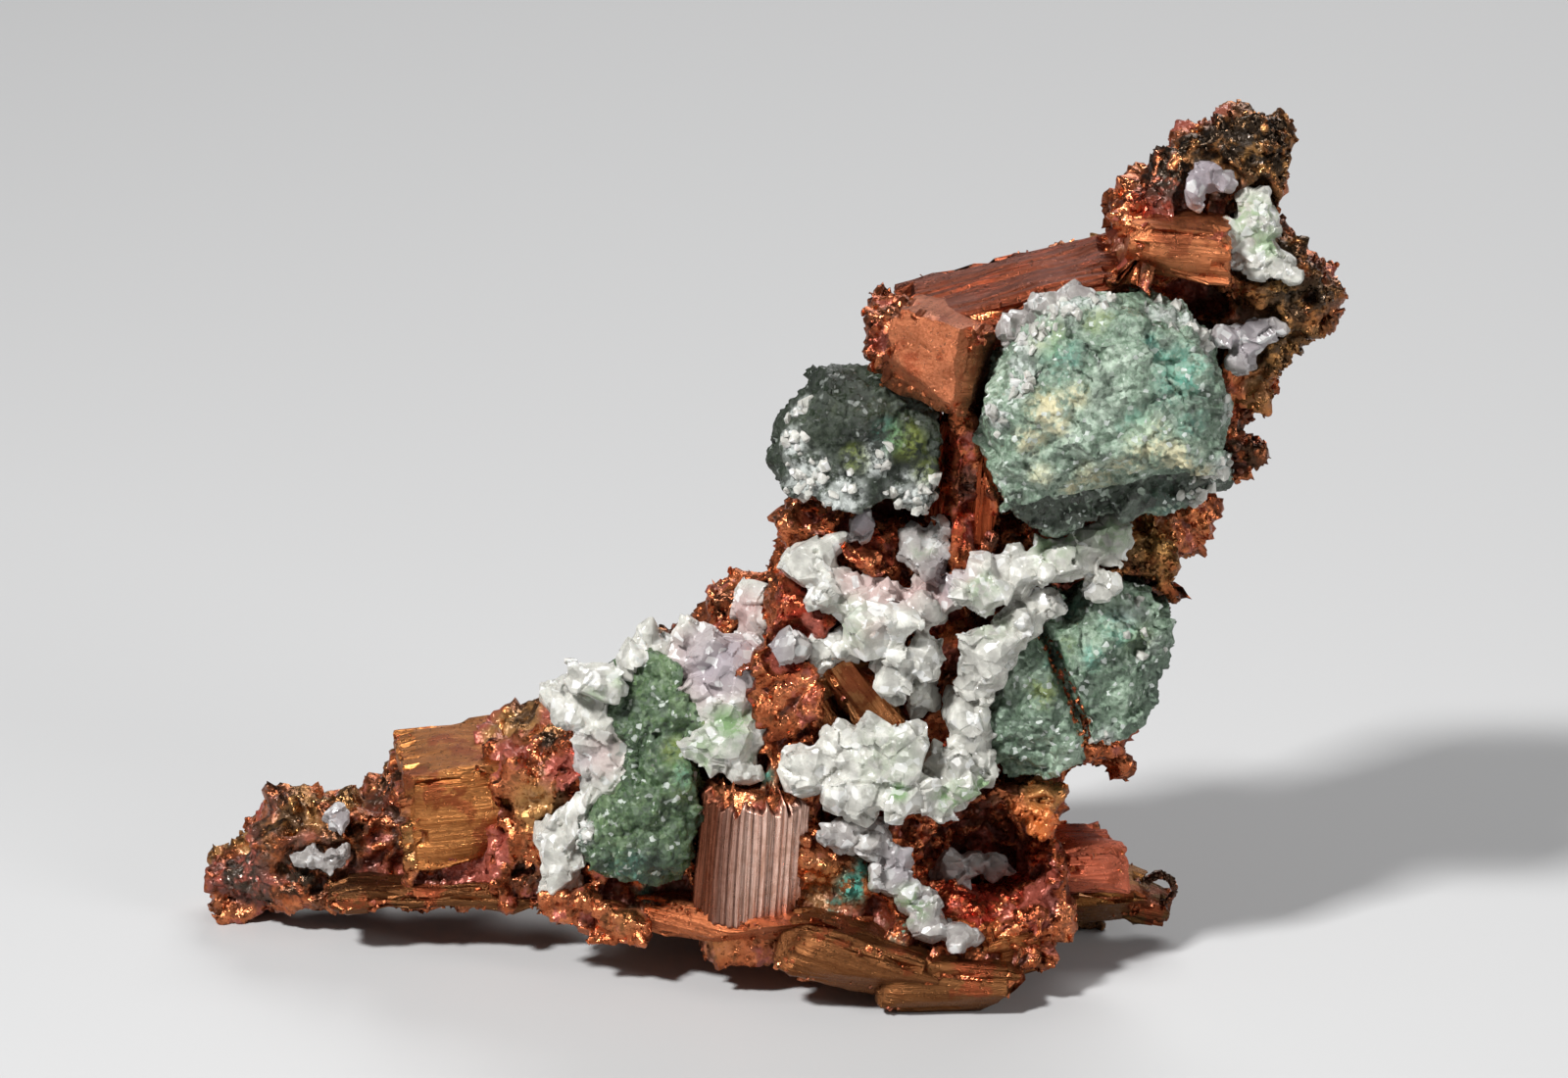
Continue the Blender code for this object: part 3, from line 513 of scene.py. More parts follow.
def add_node(tree, kind, inputs=None, **settings):
    """A new node with these settings and inputs."""
    node = tree.nodes.new(kind)
    for name, value in settings.items():
        setattr(node, name, value)
    set_inputs(tree, node, inputs or {})
    return node


def object_place(tree):
    return add_node(tree, "ShaderNodeTexCoord").outputs["Object"]


def ramp(tree, value, stops):
    """A colour ramp over a value: stops are (position, (r, g, b))."""
    node = add_node(tree, "ShaderNodeValToRGB", {"Fac": value})
    elements = node.color_ramp.elements
    while len(elements) < len(stops):
        elements.new(0.5)
    for element, (position, colour) in zip(elements, stops):
        element.position = position
        element.color = (*colour, 1)
    return node.outputs["Color"]


def blend_colour(tree, share, first, second, how="MIX"):
    """The first colour, mixed with the second by this share."""
    node = tree.nodes.new("ShaderNodeMix")
    node.data_type = "RGBA"
    node.blend_type = how
    for socket, value in zip((node.inputs[0], node.inputs[6], node.inputs[7]), (share, first, second)):
        if isinstance(value, bpy.types.NodeSocket):
            tree.links.new(value, socket)
        elif isinstance(value, tuple):
            socket.default_value = (*value, 1)
        else:
            socket.default_value = value
    return node.outputs[2]


def maths(tree, operation, first, second=0.0, clamp=False):
    node = add_node(tree, "ShaderNodeMath", {0: first, 1: second}, operation=operation)
    node.use_clamp = clamp
    return node.outputs[0]


def share_between(tree, value, low, high, start=0.0, end=1.0):
    """Maps low to high onto start to end, smoothly and without overshoot."""
    node = add_node(tree, "ShaderNodeMapRange", {
        "Value": value, "From Min": low, "From Max": high, "To Min": start, "To Max": end,
    }, interpolation_type="SMOOTHSTEP")
    return node.outputs["Result"]


def noise_in(tree, place, width, detail=4.0, roughness=0.6):
    """Noise, 0 to 1, with patches about this many mm wide."""
    node = add_node(tree, "ShaderNodeTexNoise", {
        "Vector": place, "Scale": 1000 / width, "Detail": detail, "Roughness": roughness,
    })
    return node.outputs["Fac"]


def attribute_in(tree, name, output="Fac"):
    return add_node(tree, "ShaderNodeAttribute", attribute_name=name).outputs[output]


def ragged_places(tree, name, texture, low, high, end=1.0):
    """An attribute's places, broken up by a texture."""
    broken = share_between(tree, texture, low, high, 0.0, end)
    return maths(tree, "MULTIPLY", attribute_in(tree, name), broken)


def bumps(tree, strength, depth, height):
    """A normal for small bumps, up to this many mm deep."""
    return add_node(tree, "ShaderNodeBump", {
        "Strength": strength, "Distance": depth * MM, "Height": height,
    }).outputs["Normal"]


def add_sockets(tree, inputs, outputs):
    """Gives a node group its inputs and outputs, each a name and a kind of socket."""
    for direction, sockets in (("INPUT", inputs), ("OUTPUT", outputs)):
        for name, kind in sockets:
            tree.interface.new_socket(name, in_out=direction, socket_type=f"NodeSocket{kind}")


def tilted_grains_group():
    """Many tiny faces, each tilted its own way, so that the surface glitters."""
    tree = bpy.data.node_groups.new("tilted grains", "ShaderNodeTree")
    inputs = [("Grains per mm", "Float"), ("Tilt", "Float"), ("Normal", "Vector")]
    add_sockets(tree, inputs, [("Normal", "Vector"), ("Grain", "Float")])
    given = tree.nodes.new("NodeGroupInput")
    result = tree.nodes.new("NodeGroupOutput")
    place = object_place(tree)
    per_metre = maths(tree, "MULTIPLY", given.outputs["Grains per mm"], 1000.0)
    grains = add_node(tree, "ShaderNodeTexVoronoi", {"Vector": place, "Scale": per_metre})
    centred = add_node(tree, "ShaderNodeVectorMath", {
        0: grains.outputs["Color"], 1: (0.5, 0.5, 0.5),
    }, operation="SUBTRACT")
    lean = add_node(tree, "ShaderNodeVectorMath", {
        0: centred.outputs["Vector"], "Scale": given.outputs["Tilt"],
    }, operation="SCALE")
    summed = add_node(tree, "ShaderNodeVectorMath", {
        0: given.outputs["Normal"], 1: lean.outputs["Vector"],
    }, operation="ADD")
    unit = add_node(tree, "ShaderNodeVectorMath", {0: summed.outputs["Vector"]}, operation="NORMALIZE")
    parts = add_node(tree, "ShaderNodeSeparateColor", {"Color": grains.outputs["Color"]})
    tree.links.new(unit.outputs["Vector"], result.inputs["Normal"])
    tree.links.new(parts.outputs["Red"], result.inputs["Grain"])
    return tree


tilted_grains = tilted_grains_group()


def add_tilted_grains(tree, grains_per_mm, tilt, normal):
    """Places the group and returns its normal and its per-grain random value."""
    node = add_node(tree, "ShaderNodeGroup", node_tree=tilted_grains)
    set_inputs(tree, node, {"Grains per mm": grains_per_mm, "Tilt": tilt, "Normal": normal})
    return node.outputs["Normal"], node.outputs["Grain"]


def hackly_copper():
    """Bare copper: salmon to orange on the knobs, browner between, cuprite red with painted shade in the
    hollows, amber with painted light on the cavity's walls, brassy and dark tarnish at the tips, painted
    shade in the hole, the cavity and beside the sheet, and a little verdigris."""
    material, tree, shader = new_material("hackly copper")
    place = object_place(tree)
    patches = noise_in(tree, place, 2.6, 6.0)
    fine = noise_in(tree, place, 0.7, 4.0)
    colour = ramp(tree, patches, [
        (0.30, (0.20, 0.045, 0.018)), (0.45, (0.42, 0.11, 0.040)),
        (0.56, (0.62, 0.20, 0.085)), (0.66, (0.52, 0.16, 0.045)), (0.76, (0.34, 0.15, 0.05)),
    ])
    hollow_shade_and_cuprite = share_between(tree, attribute_in(tree, "hollow"), 0.02, 0.22)
    amber = attribute_in(tree, "amber")
    rose_places = maths(tree, "MULTIPLY", attribute_in(tree, "rose"), 0.25)
    rosy = maths(tree, "ADD", rose_places, noise_in(tree, place, 1.3, 4.0))
    rosy = share_between(tree, rosy, 0.54, 0.66)
    verdigris = ragged_places(tree, "teal", fine, 0.42, 0.52)
    # The hollows get painted shade in cuprite red. The amber on the cavity's walls is painted light. Some
    # dark spots are painted shade.
    for share, tint in (
        (maths(tree, "MULTIPLY", hollow_shade_and_cuprite, 0.9), (0.085, 0.012, 0.006)),
        (share_between(tree, fine, 0.50, 0.64, 0.0, 0.75), (0.13, 0.05, 0.022)),
        (ragged_places(tree, "red", fine, 0.35, 0.6), (0.50, 0.045, 0.025)),
        (amber, (0.60, 0.16, 0.035)),
        (rosy, (0.34, 0.082, 0.055)),
        (ragged_places(tree, "gold", patches, 0.3, 0.5), (0.36, 0.20, 0.065)),
        (ragged_places(tree, "dark", fine, 0.34, 0.54), (0.045, 0.030, 0.020)),
        (verdigris, (0.06, 0.30, 0.23)),
    ):
        colour = blend_colour(tree, share, colour, tint)
    dull = verdigris
    for dulling in (hollow_shade_and_cuprite, rosy, amber):
        dull = maths(tree, "MAXIMUM", dull, maths(tree, "MULTIPLY", dulling, 0.6))
    relief = maths(tree, "ADD", noise_in(tree, place, 0.22, 3.0), maths(tree, "MULTIPLY", fine, 1.5))
    normal, grain = add_tilted_grains(tree, 5.0, 0.55, bumps(tree, 0.55, 0.12, relief))
    set_inputs(tree, shader, {
        "Base Color": colour, "Metallic": maths(tree, "SUBTRACT", 0.95, dull, clamp=True),
        "Normal": normal, "Roughness": share_between(tree, grain, 0.0, 1.0, 0.16, 0.42),
    })
    return material


copper_material = hackly_copper()
mass.data.materials.append(copper_material)
mass.data.shade_smooth()
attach(mass, "root")
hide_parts("copper")


# The flat-faced copper crystals: blocks and plates that grew out of the mass, with fine growth
# lines along their faces. Each is a chamfered block, finely cut across its lines so that the lines
# are real ridges, and it stands just proud of the mass.
LINE_WIDTH = 0.26  # mm
WAVE_HEIGHT = 0.20
CHIP_DEPTH = 0.6
CRYSTAL_CUT = 0.13
CRYSTAL_TINT = 0.35  # share of the mass's tints that reaches the crystals
CRYSTAL_EDGE = math.radians(35)  # faces that meet more sharply show an edge
CRYSTAL_LOOKS = {
    # colour, and how tall its growth lines are in mm
    "facet block": ((0.5, 0.2, 0.062), 0.035), "arm rod": ((0.17, 0.07, 0.026), 0.07),
    "left ledge": ((0.26, 0.1, 0.035), 0.05), "front ledge": ((0.5, 0.16, 0.065), 0.04),
    # The keel is darker than its golden-brown copper, as painted shade on its underside.
    "keel taper": ((0.22, 0.085, 0.03), 0.05), "keel": ((0.2, 0.08, 0.028), 0.05),
    "keel heel": ((0.3, 0.11, 0.036), 0.05), "pink block": ((0.66, 0.17, 0.09), 0.06),
    "right limb": ((0.28, 0.12, 0.036), 0.06), "limb tip": ((0.16, 0.08, 0.03), 0.06),
    "back foot": ((0.38, 0.13, 0.05), 0.06), "diagonal plate": ((0.5, 0.21, 0.08), 0.07),
    "groove plate": ((0.42, 0.16, 0.06), 0.07), "neck strip": ((0.46, 0.1, 0.035), 0.12),
    "neck rib": ((0.3, 0.07, 0.028), 0.12), "block end": ((0.47, 0.16, 0.075), 0.03),
    "long ridge": ((0.21, 0.055, 0.026), 0.11), "upper block": ((0.64, 0.22, 0.09), 0.03),
    "rear column": ((0.46, 0.16, 0.06), 0.06), "rear wedge": ((0.4, 0.17, 0.06), 0.05),
    "rear slab": ((0.5, 0.15, 0.05), 0.08), "rear step": ((0.38, 0.14, 0.05), 0.06),
    "rear shoulder": ((0.42, 0.18, 0.06), 0.06),
}


def edges_along(bm, axis):
    """The edges that run along this axis of a block."""
    chosen = []
    for edge in bm.edges:
        run = edge.verts[1].co - edge.verts[0].co
        if abs(run[axis]) > 0.9 * run.length:
            chosen.append(edge)
    return chosen


def lined_block(size, line_axis):
    """A block with many narrow strips across its lines and few cuts along them."""
    bm = bmesh.new()
    bmesh.ops.create_cube(bm, size=1.0, matrix=Matrix.Diagonal((*size, 1.0)))
    for axis in range(3):
        step = 1.2 if axis == line_axis else CRYSTAL_CUT
        cuts = max(2, round(size[axis] / (step * MM)))
        bmesh.ops.subdivide_edges(bm, edges=edges_along(bm, axis), cuts=cuts, use_grid_fill=True)
    return bm


def shape_block(bm, name, size, line_axis, rounding, line_height, seed):
    """Rounds and chips the block's edges, raises its growth lines and waves its faces a little."""
    half = np.array(size) / 2
    local = np.array([vertex.co for vertex in bm.verts])
    from_edge = np.sort(half - np.abs(local), axis=1)[:, 1] / MM
    chips = CHIP_DEPTH * fade(from_edge, 0.9, 0.1) * fade(clouds(local, 1.1, 3, seed + 9), -0.05, 0.35)
    inset = rounding * MM * (1 + 0.6 * clouds(local, 2.0, 2, seed))
    core = half - inset[:, None]
    over = np.maximum(np.abs(local) - core, 0) * np.sign(local)
    reach = np.linalg.norm(over, axis=1)
    outward = over / np.maximum(reach, 1e-9)[:, None]
    squeezed = local / MM
    squeezed[:, line_axis] /= 40
    lines = clouds(squeezed * MM, LINE_WIDTH, 2, seed)
    waves = clouds(local, 2.4, 2, seed + 5)
    height = (line_height * lines + WAVE_HEIGHT * waves - chips) * MM
    chamfered = np.clip(local, -core, core) + outward * (np.minimum(reach, inset) + height)[:, None]
    chamfered = wear_corners(chamfered / MM, name, half / MM) * MM
    for vertex, point in zip(bm.verts, chamfered):
        vertex.co = point
    return local


crystals = bmesh.new()
local_layer = crystals.verts.layers.float_vector.new("local")
tone_layer = crystals.verts.layers.float_color.new("tone")
rough_layer = crystals.verts.layers.float.new("rough")
for seed, (name, values) in enumerate(CRYSTALS.items()):
    across, up, depth, width, height, thickness, turn, yaw, pitch, line_axis, rounding = values
    tone, line_height = CRYSTAL_LOOKS[name]
    size = Vector((width, thickness, height)) * MM
    block = lined_block(size, line_axis)
    local = shape_block(block, name, size, line_axis, rounding, line_height, seed)
    place = crystal_place(across, up, depth, turn, yaw, pitch)
    bmesh.ops.transform(block, matrix=place, verts=block.verts)
    placed = cut_flat(np.array([vertex.co for vertex in block.verts]), CRYSTAL_CUTS.get(name, []))
    for vertex, point in zip(block.verts, placed):
        vertex.co = point
    bmesh.ops.recalc_face_normals(block, faces=block.faces)
    mesh = mesh_from(block, name)
    before = len(crystals.verts)
    crystals.from_mesh(mesh)
    bpy.data.meshes.remove(mesh)
    crystals.verts.ensure_lookup_table()
    half = np.array(size) / 2
    from_edge = np.sort(half - np.abs(local), axis=1)[:, 1] / MM
    edge_share = (1 - fade(from_edge, 0.15, 0.8)) * fade(clouds(local, 1.6, 3, seed + 20), -0.1, 0.3)
    if name in REAR_CRYSTALS:  # overgrown, mostly from the edges inward
        reach = fade(from_edge, 3.2, 0.4) * 0.5
        edge_share = np.maximum(edge_share, fade(clouds(local, 2.6, 3, seed + 40) + reach, 0.06, 0.26))
    for index, point in enumerate(local):
        vertex = crystals.verts[before + index]
        squeezed = point / MM
        squeezed[line_axis] /= 30
        vertex[local_layer] = squeezed
        vertex[tone_layer] = (*tone, 1)
        vertex[rough_layer] = edge_share[index]
crystal_mesh = mesh_from(crystals, "copper_crystals")
crystal_piece = piece_of("copper_crystals", crystal_mesh)
points = points_of(crystal_mesh)
move_points(crystal_mesh, points)
for name in ("red", "dark", "gold", "teal", "rose"):
    tinted = CRYSTAL_TINT * spots(points, front_surface, COPPER_TINTS[name])
    set_attribute(crystal_mesh, name, tinted)
set_attribute(crystal_mesh, "hollow", np.zeros(len(points)))
set_attribute(crystal_mesh, "patchy", np.ones(len(points)))


def lined_copper():
    """Smooth copper faces: each crystal its own tone, streaked along its growth lines."""
    material, tree, shader = new_material("lined copper")
    place = object_place(tree)
    streaks = add_node(tree, "ShaderNodeTexNoise", {
        "Vector": attribute_in(tree, "local", "Vector"), "Scale": 7.0, "Detail": 5.0, "Roughness": 0.7,
    }).outputs["Fac"]
    patches = noise_in(tree, place, 2.4, 4.0)
    mottle = noise_in(tree, place, 0.6, 4.0)
    tone = attribute_in(tree, "tone", "Color")
    darker = blend_colour(tree, 1.0, tone, (0.62, 0.50, 0.42), "MULTIPLY")
    colour = tone
    for share, tint in (
        (share_between(tree, streaks, 0.44, 0.64, 0.0, 0.9), darker),
        (ragged_places(tree, "patchy", patches, 0.54, 0.60, 0.75), (0.27, 0.055, 0.022)),
        (share_between(tree, mottle, 0.5, 0.66, 0.0, 0.45), darker),
        (ragged_places(tree, "dark", patches, 0.3, 0.6), (0.06, 0.04, 0.025)),
    ):
        colour = blend_colour(tree, share, colour, tint)
    fine = noise_in(tree, place, 0.25, 3.0)
    relief = maths(tree, "ADD", streaks, maths(tree, "MULTIPLY", fine, 0.25))
    set_inputs(tree, shader, {
        "Base Color": colour, "Metallic": 0.95, "Normal": bumps(tree, 0.9, 0.10, relief),
        "Roughness": share_between(tree, fine, 0.3, 0.7, 0.24, 0.46),
    })
    return material


lined_material = lined_copper()
crystal_mesh.materials.append(lined_material)
crystal_mesh.shade_smooth()
crystal_mesh.set_sharp_from_angle(angle=CRYSTAL_EDGE)
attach(crystal_piece, "root")
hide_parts("copper")


# Copper crust: the hackly parts are covered with small crystallites, most under half a millimetre,
# which grew on the mass in all directions. They are scattered grains of a few angular shapes.
CRUST_PER_MM2 = 2.4
EDGE_CRUST_PER_MM2 = 5.0
CRUST_SIZES = (0.20, 0.65)  # mm


def grain_shapes(name, corners, thicknesses):
    """A collection of angular grains about 1 across, one of each thickness: hulls of some corners."""
    rng = random.Random(name)
    shapes = bpy.data.collections.new(name)
    for index, squash in enumerate(thicknesses):
        bm = bmesh.new()
        for _ in range(corners):
            point = Vector([rng.gauss(0, 1) for _ in range(3)]).normalized()
            point *= rng.uniform(0.36, 0.5)
            bm.verts.new(Vector((point.x, point.y * squash, point.z)))
        bmesh.ops.convex_hull(bm, input=list(bm.verts))
        mesh = mesh_from(bm, f"{name} {index}")
        shapes.objects.link(bpy.data.objects.new(mesh.name, mesh))
    return shapes


def scatter_tree():
    """Geometry Nodes that scatter grains over a surface, as densely as an attribute says."""
    tree = bpy.data.node_groups.new("scattered grains", "GeometryNodeTree")
    inputs = [
        ("Surface", "Geometry"), ("Where", "String"), ("Per square metre", "Float"),
        ("Smallest", "Float"), ("Largest", "Float"), ("Shapes", "Collection"),
        ("Finish", "Material"), ("Seed", "Int"),
    ]
    add_sockets(tree, inputs, [("Grains", "Geometry")])
    given = tree.nodes.new("NodeGroupInput").outputs
    result = tree.nodes.new("NodeGroupOutput")
    where = add_node(tree, "GeometryNodeInputNamedAttribute", {"Name": given["Where"]})
    density = maths(tree, "MULTIPLY", where.outputs["Attribute"], given["Per square metre"])
    spread = add_node(tree, "GeometryNodeDistributePointsOnFaces", {
        "Mesh": given["Surface"], "Density": density, "Seed": given["Seed"],
    })
    shapes = add_node(tree, "GeometryNodeCollectionInfo", {
        "Collection": given["Shapes"], "Separate Children": True, "Reset Children": True,
    })
    size = add_node(tree, "FunctionNodeRandomValue", {
        2: given["Smallest"], 3: given["Largest"], "Seed": given["Seed"],
    }, data_type="FLOAT")
    turn = add_node(tree, "FunctionNodeRandomValue", {1: (math.tau,) * 3}, data_type="FLOAT_VECTOR")
    placed = add_node(tree, "GeometryNodeInstanceOnPoints", {
        "Points": spread.outputs["Points"], "Instance": shapes.outputs["Instances"],
        "Rotation": turn.outputs[0], "Scale": size.outputs[1], "Pick Instance": True,
    })
    real = add_node(tree, "GeometryNodeRealizeInstances", {"Geometry": placed.outputs["Instances"]})
    finished = add_node(tree, "GeometryNodeSetMaterial", {
        "Geometry": real.outputs["Geometry"], "Material": given["Finish"],
    })
    tree.links.new(finished.outputs["Geometry"], result.inputs["Grains"])
    return tree


scattered_grains = scatter_tree()


def scatter(name, carrier, where, per_mm2, sizes, shapes, finish, seed):
    """A new piece: grains of these sizes in mm on a surface, realized as a plain mesh."""
    piece = piece_of(name, carrier.data.copy())
    modifier = piece.modifiers.new("Grains", "NODES")
    modifier.node_group = scattered_grains
    values = {
        "Where": where, "Per square metre": per_mm2 * 1e6, "Smallest": sizes[0] * MM,
        "Largest": sizes[1] * MM, "Shapes": shapes, "Finish": finish, "Seed": seed,
    }
    for item in scattered_grains.interface.items_tree:
        if item.name in values:
            modifier[item.identifier] = values[item.name]
    mesh = apply_modifiers(piece)
    move_points(mesh, points_of(mesh))
    return piece


copper_grains = grain_shapes("copper grains", 9, (0.9, 0.8, 0.7, 0.35, 0.25, 0.3, 0.6, 0.2))
for name, carrier, per_mm2, seed in (
    ("copper_crust", mass, CRUST_PER_MM2, 4),
    ("copper_edge_crust", crystal_piece, EDGE_CRUST_PER_MM2, 5),
):
    crust = scatter(
        name, carrier, "rough", per_mm2, CRUST_SIZES, copper_grains, copper_material, seed
    )
    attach(crust, "root")
    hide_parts("copper")


# The striated sheet: a curved, fluted crystal face on the front of the base, bright copper-pink,
# with sharp upright ridges. It is the front of a half-buried cylinder.
SHEET_COLUMNS = 560
SHEET_ROWS = 50
SHEET_FOOT = -0.27  # share of its height
SHEET_RAGGED = 1.1  # mm that its broken top edge goes up and down
RIDGE_WIDTH = 0.36
RIDGE_HEIGHT = 0.22
# The first tone is a painted highlight right of the middle; the second is painted shade at the far left and
# the top.
SHEET_TONES = ((1.0, 0.68, 0.56), (0.26, 0.09, 0.05))  # right of the middle; far left and top


def ridge_profile(angle, level):
    """Height in mm of the sharp upright ridges round the sheet, nearly the same at every level."""
    place = angle * SHEET[3] / RIDGE_WIDTH
    drift = 0.6 * noise.noise(Vector((place * 0.15, level * 1.2, 5.0)))
    broad = 1 - abs(2 * ((place + drift) % 1) - 1)
    narrow = 1 - abs(2 * ((place * 2.63 + 2 * drift) % 1) - 1)
    uneven = noise.noise(Vector((math.floor(place + drift) * 3.7, 0.5, 2.0)))
    return RIDGE_HEIGHT * (broad * (0.7 + uneven) + 0.3 * narrow)


def skin_rings(bm, rings):
    """Faces between rings of corners, and one over each end."""
    for lower, upper in zip(rings, rings[1:]):
        for here in range(len(lower)):
            after = (here + 1) % len(lower)
            bm.faces.new((lower[here], lower[after], upper[after], upper[here]))
    bm.faces.new(reversed(rings[0]))
    bm.faces.new(rings[-1])


def build_sheet():
    across, up, depth, radius, height, turn = SHEET
    place = crystal_place(across, up, depth, turn, 0, 0)
    bm = bmesh.new()
    tone = bm.verts.layers.float_color.new("tone")
    streak = bm.verts.layers.float_vector.new("local")
    rings = []
    for row in range(SHEET_ROWS + 1):
        level = SHEET_FOOT + (0.5 - SHEET_FOOT) * row / SHEET_ROWS
        top = 0.9 * max(0.0, level - 0.42) / 0.08
        ring = []
        for column in range(SHEET_COLUMNS):
            angle = math.tau * column / SHEET_COLUMNS
            wide = noise.noise(Vector((math.cos(angle) * 3, math.sin(angle) * 3, level * 0.8)))
            ridge = ridge_profile(angle, level)
            out = radius - 0.02 + ridge + 0.16 * wide - top
            ragged = noise.noise(Vector((math.cos(angle) * 7, math.sin(angle) * 7, 3.0)))
            rise = level * height - SHEET_RAGGED * (0.5 + ragged) * fade(level, 0.30, 0.50)
            point = Vector((out * math.cos(angle), out * math.sin(angle), rise))
            vertex = bm.verts.new(place @ (point * MM))
            shaded = min(1.0, max(0.0, -math.cos(angle) * 1.4, (level - 0.40) / 0.06))
            # Painted highlight on the ridges and painted shade in the grooves.
            ridge_highlight_and_groove_shade = min(1.0, 0.25 + 1.3 * ridge / RIDGE_HEIGHT)  # bright ridges, dark grooves
            vertex[tone] = (*Vector(SHEET_TONES[0]).lerp(Vector(SHEET_TONES[1]), shaded) * ridge_highlight_and_groove_shade, 1)
            vertex[streak] = (angle * radius, 0, level * height / 30)
            ring.append(vertex)
        rings.append(ring)
    skin_rings(bm, rings)
    mesh = mesh_from(bm, "striated_sheet")
    move_points(mesh, points_of(mesh))
    mesh.shade_smooth()
    return piece_of("striated_sheet", mesh)


sheet = build_sheet()
sheet.data.materials.append(lined_material)
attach(sheet, "root")
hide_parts("copper")


# Four fragments of fine-grained green rock, which the copper and quartz grew round. They are
# sugary, broken surfaces, whitish with quartz at the rims, with cream, lime and olive patches; the olive
# under the large stone's ledge is painted shade, and light specks on some grains are painted glints.
STONE_VOXEL = 0.135  # mm
STONE_SWELL = 0.06
STONE_GRAIN = 0.09
STONE_ROUNDING = 14  # smoothing rounds
STONE_LOOKS = {
    # dark, middle and light colours of its mix, and how strongly it glitters
    "green_stone_large": ((0.070, 0.100, 0.068), (0.160, 0.240, 0.165), (0.39, 0.48, 0.38), 0.9),
    "green_stone_small": ((0.008, 0.012, 0.007), (0.018, 0.027, 0.015), (0.065, 0.08, 0.055), 0.3),
    "green_stone_lobed": ((0.050, 0.085, 0.052), (0.120, 0.190, 0.120), (0.32, 0.42, 0.31), 1.0),
    "green_stone_left": ((0.015, 0.032, 0.013), (0.043, 0.086, 0.032), (0.13, 0.20, 0.09), 0.8),
}
STONE_FACES = {
    # broken faces: across, up and depth of a point on each, how far it leans right and up
    "green_stone_large": [
        (16.8, 27.4, -9.5, 3, 8), (13.0, 29.0, -8.8, -20, 22), (20.8, 30.0, -8.4, 22, 28),
        (12.0, 25.4, -8.8, -34, 0), (22.0, 27.2, -8.6, 30, 6),
    ],
    "green_stone_small": [
        (4.4, 25.2, -5.8, -4, 8), (3.6, 27.3, -5.3, -8, 40), (1.6, 25.0, -5.3, -34, 0),
        (6.8, 26.6, -5.3, 22, 26),
    ],
    "green_stone_lobed": [
        (17.6, 14.6, -5.6, 12, 4), (17.4, 16.9, -5.0, 8, 36), (19.2, 14.4, -4.7, 40, 0),
        (13.4, 12.2, -6.5, -6, 2), (12.4, 10.0, -6.0, -20, -34), (15.0, 15.2, -6.2, -10, 30),
    ],
    "green_stone_left": [
        (-5.8, 12.3, -6.2, -8, 14), (-6.4, 13.8, -5.6, -8, 40), (-6.0, 6.1, -7.1, 8, 2),
        (-8.4, 7.2, -6.5, -34, 24), (-6.6, 4.2, -6.4, 0, -42), (-4.2, 6.4, -6.5, 36, 0),
    ],
}
LARGE_STONE_LEDGE = [(990, 530), (1060, 510), (1120, 499), (1170, 487), (1260, 486)]  # pixels
LEDGE_SET_BACK = 1.7  # mm
LEDGE_SHADE_HEIGHT = 1.9
LOBED_STONE_SEAM = [(1050, 632), (1072, 665), (1082, 700), (1104, 745), (1114, 810)]
SEAM_WIDTH = 1.1
SEAM_DEPTH = 1.6
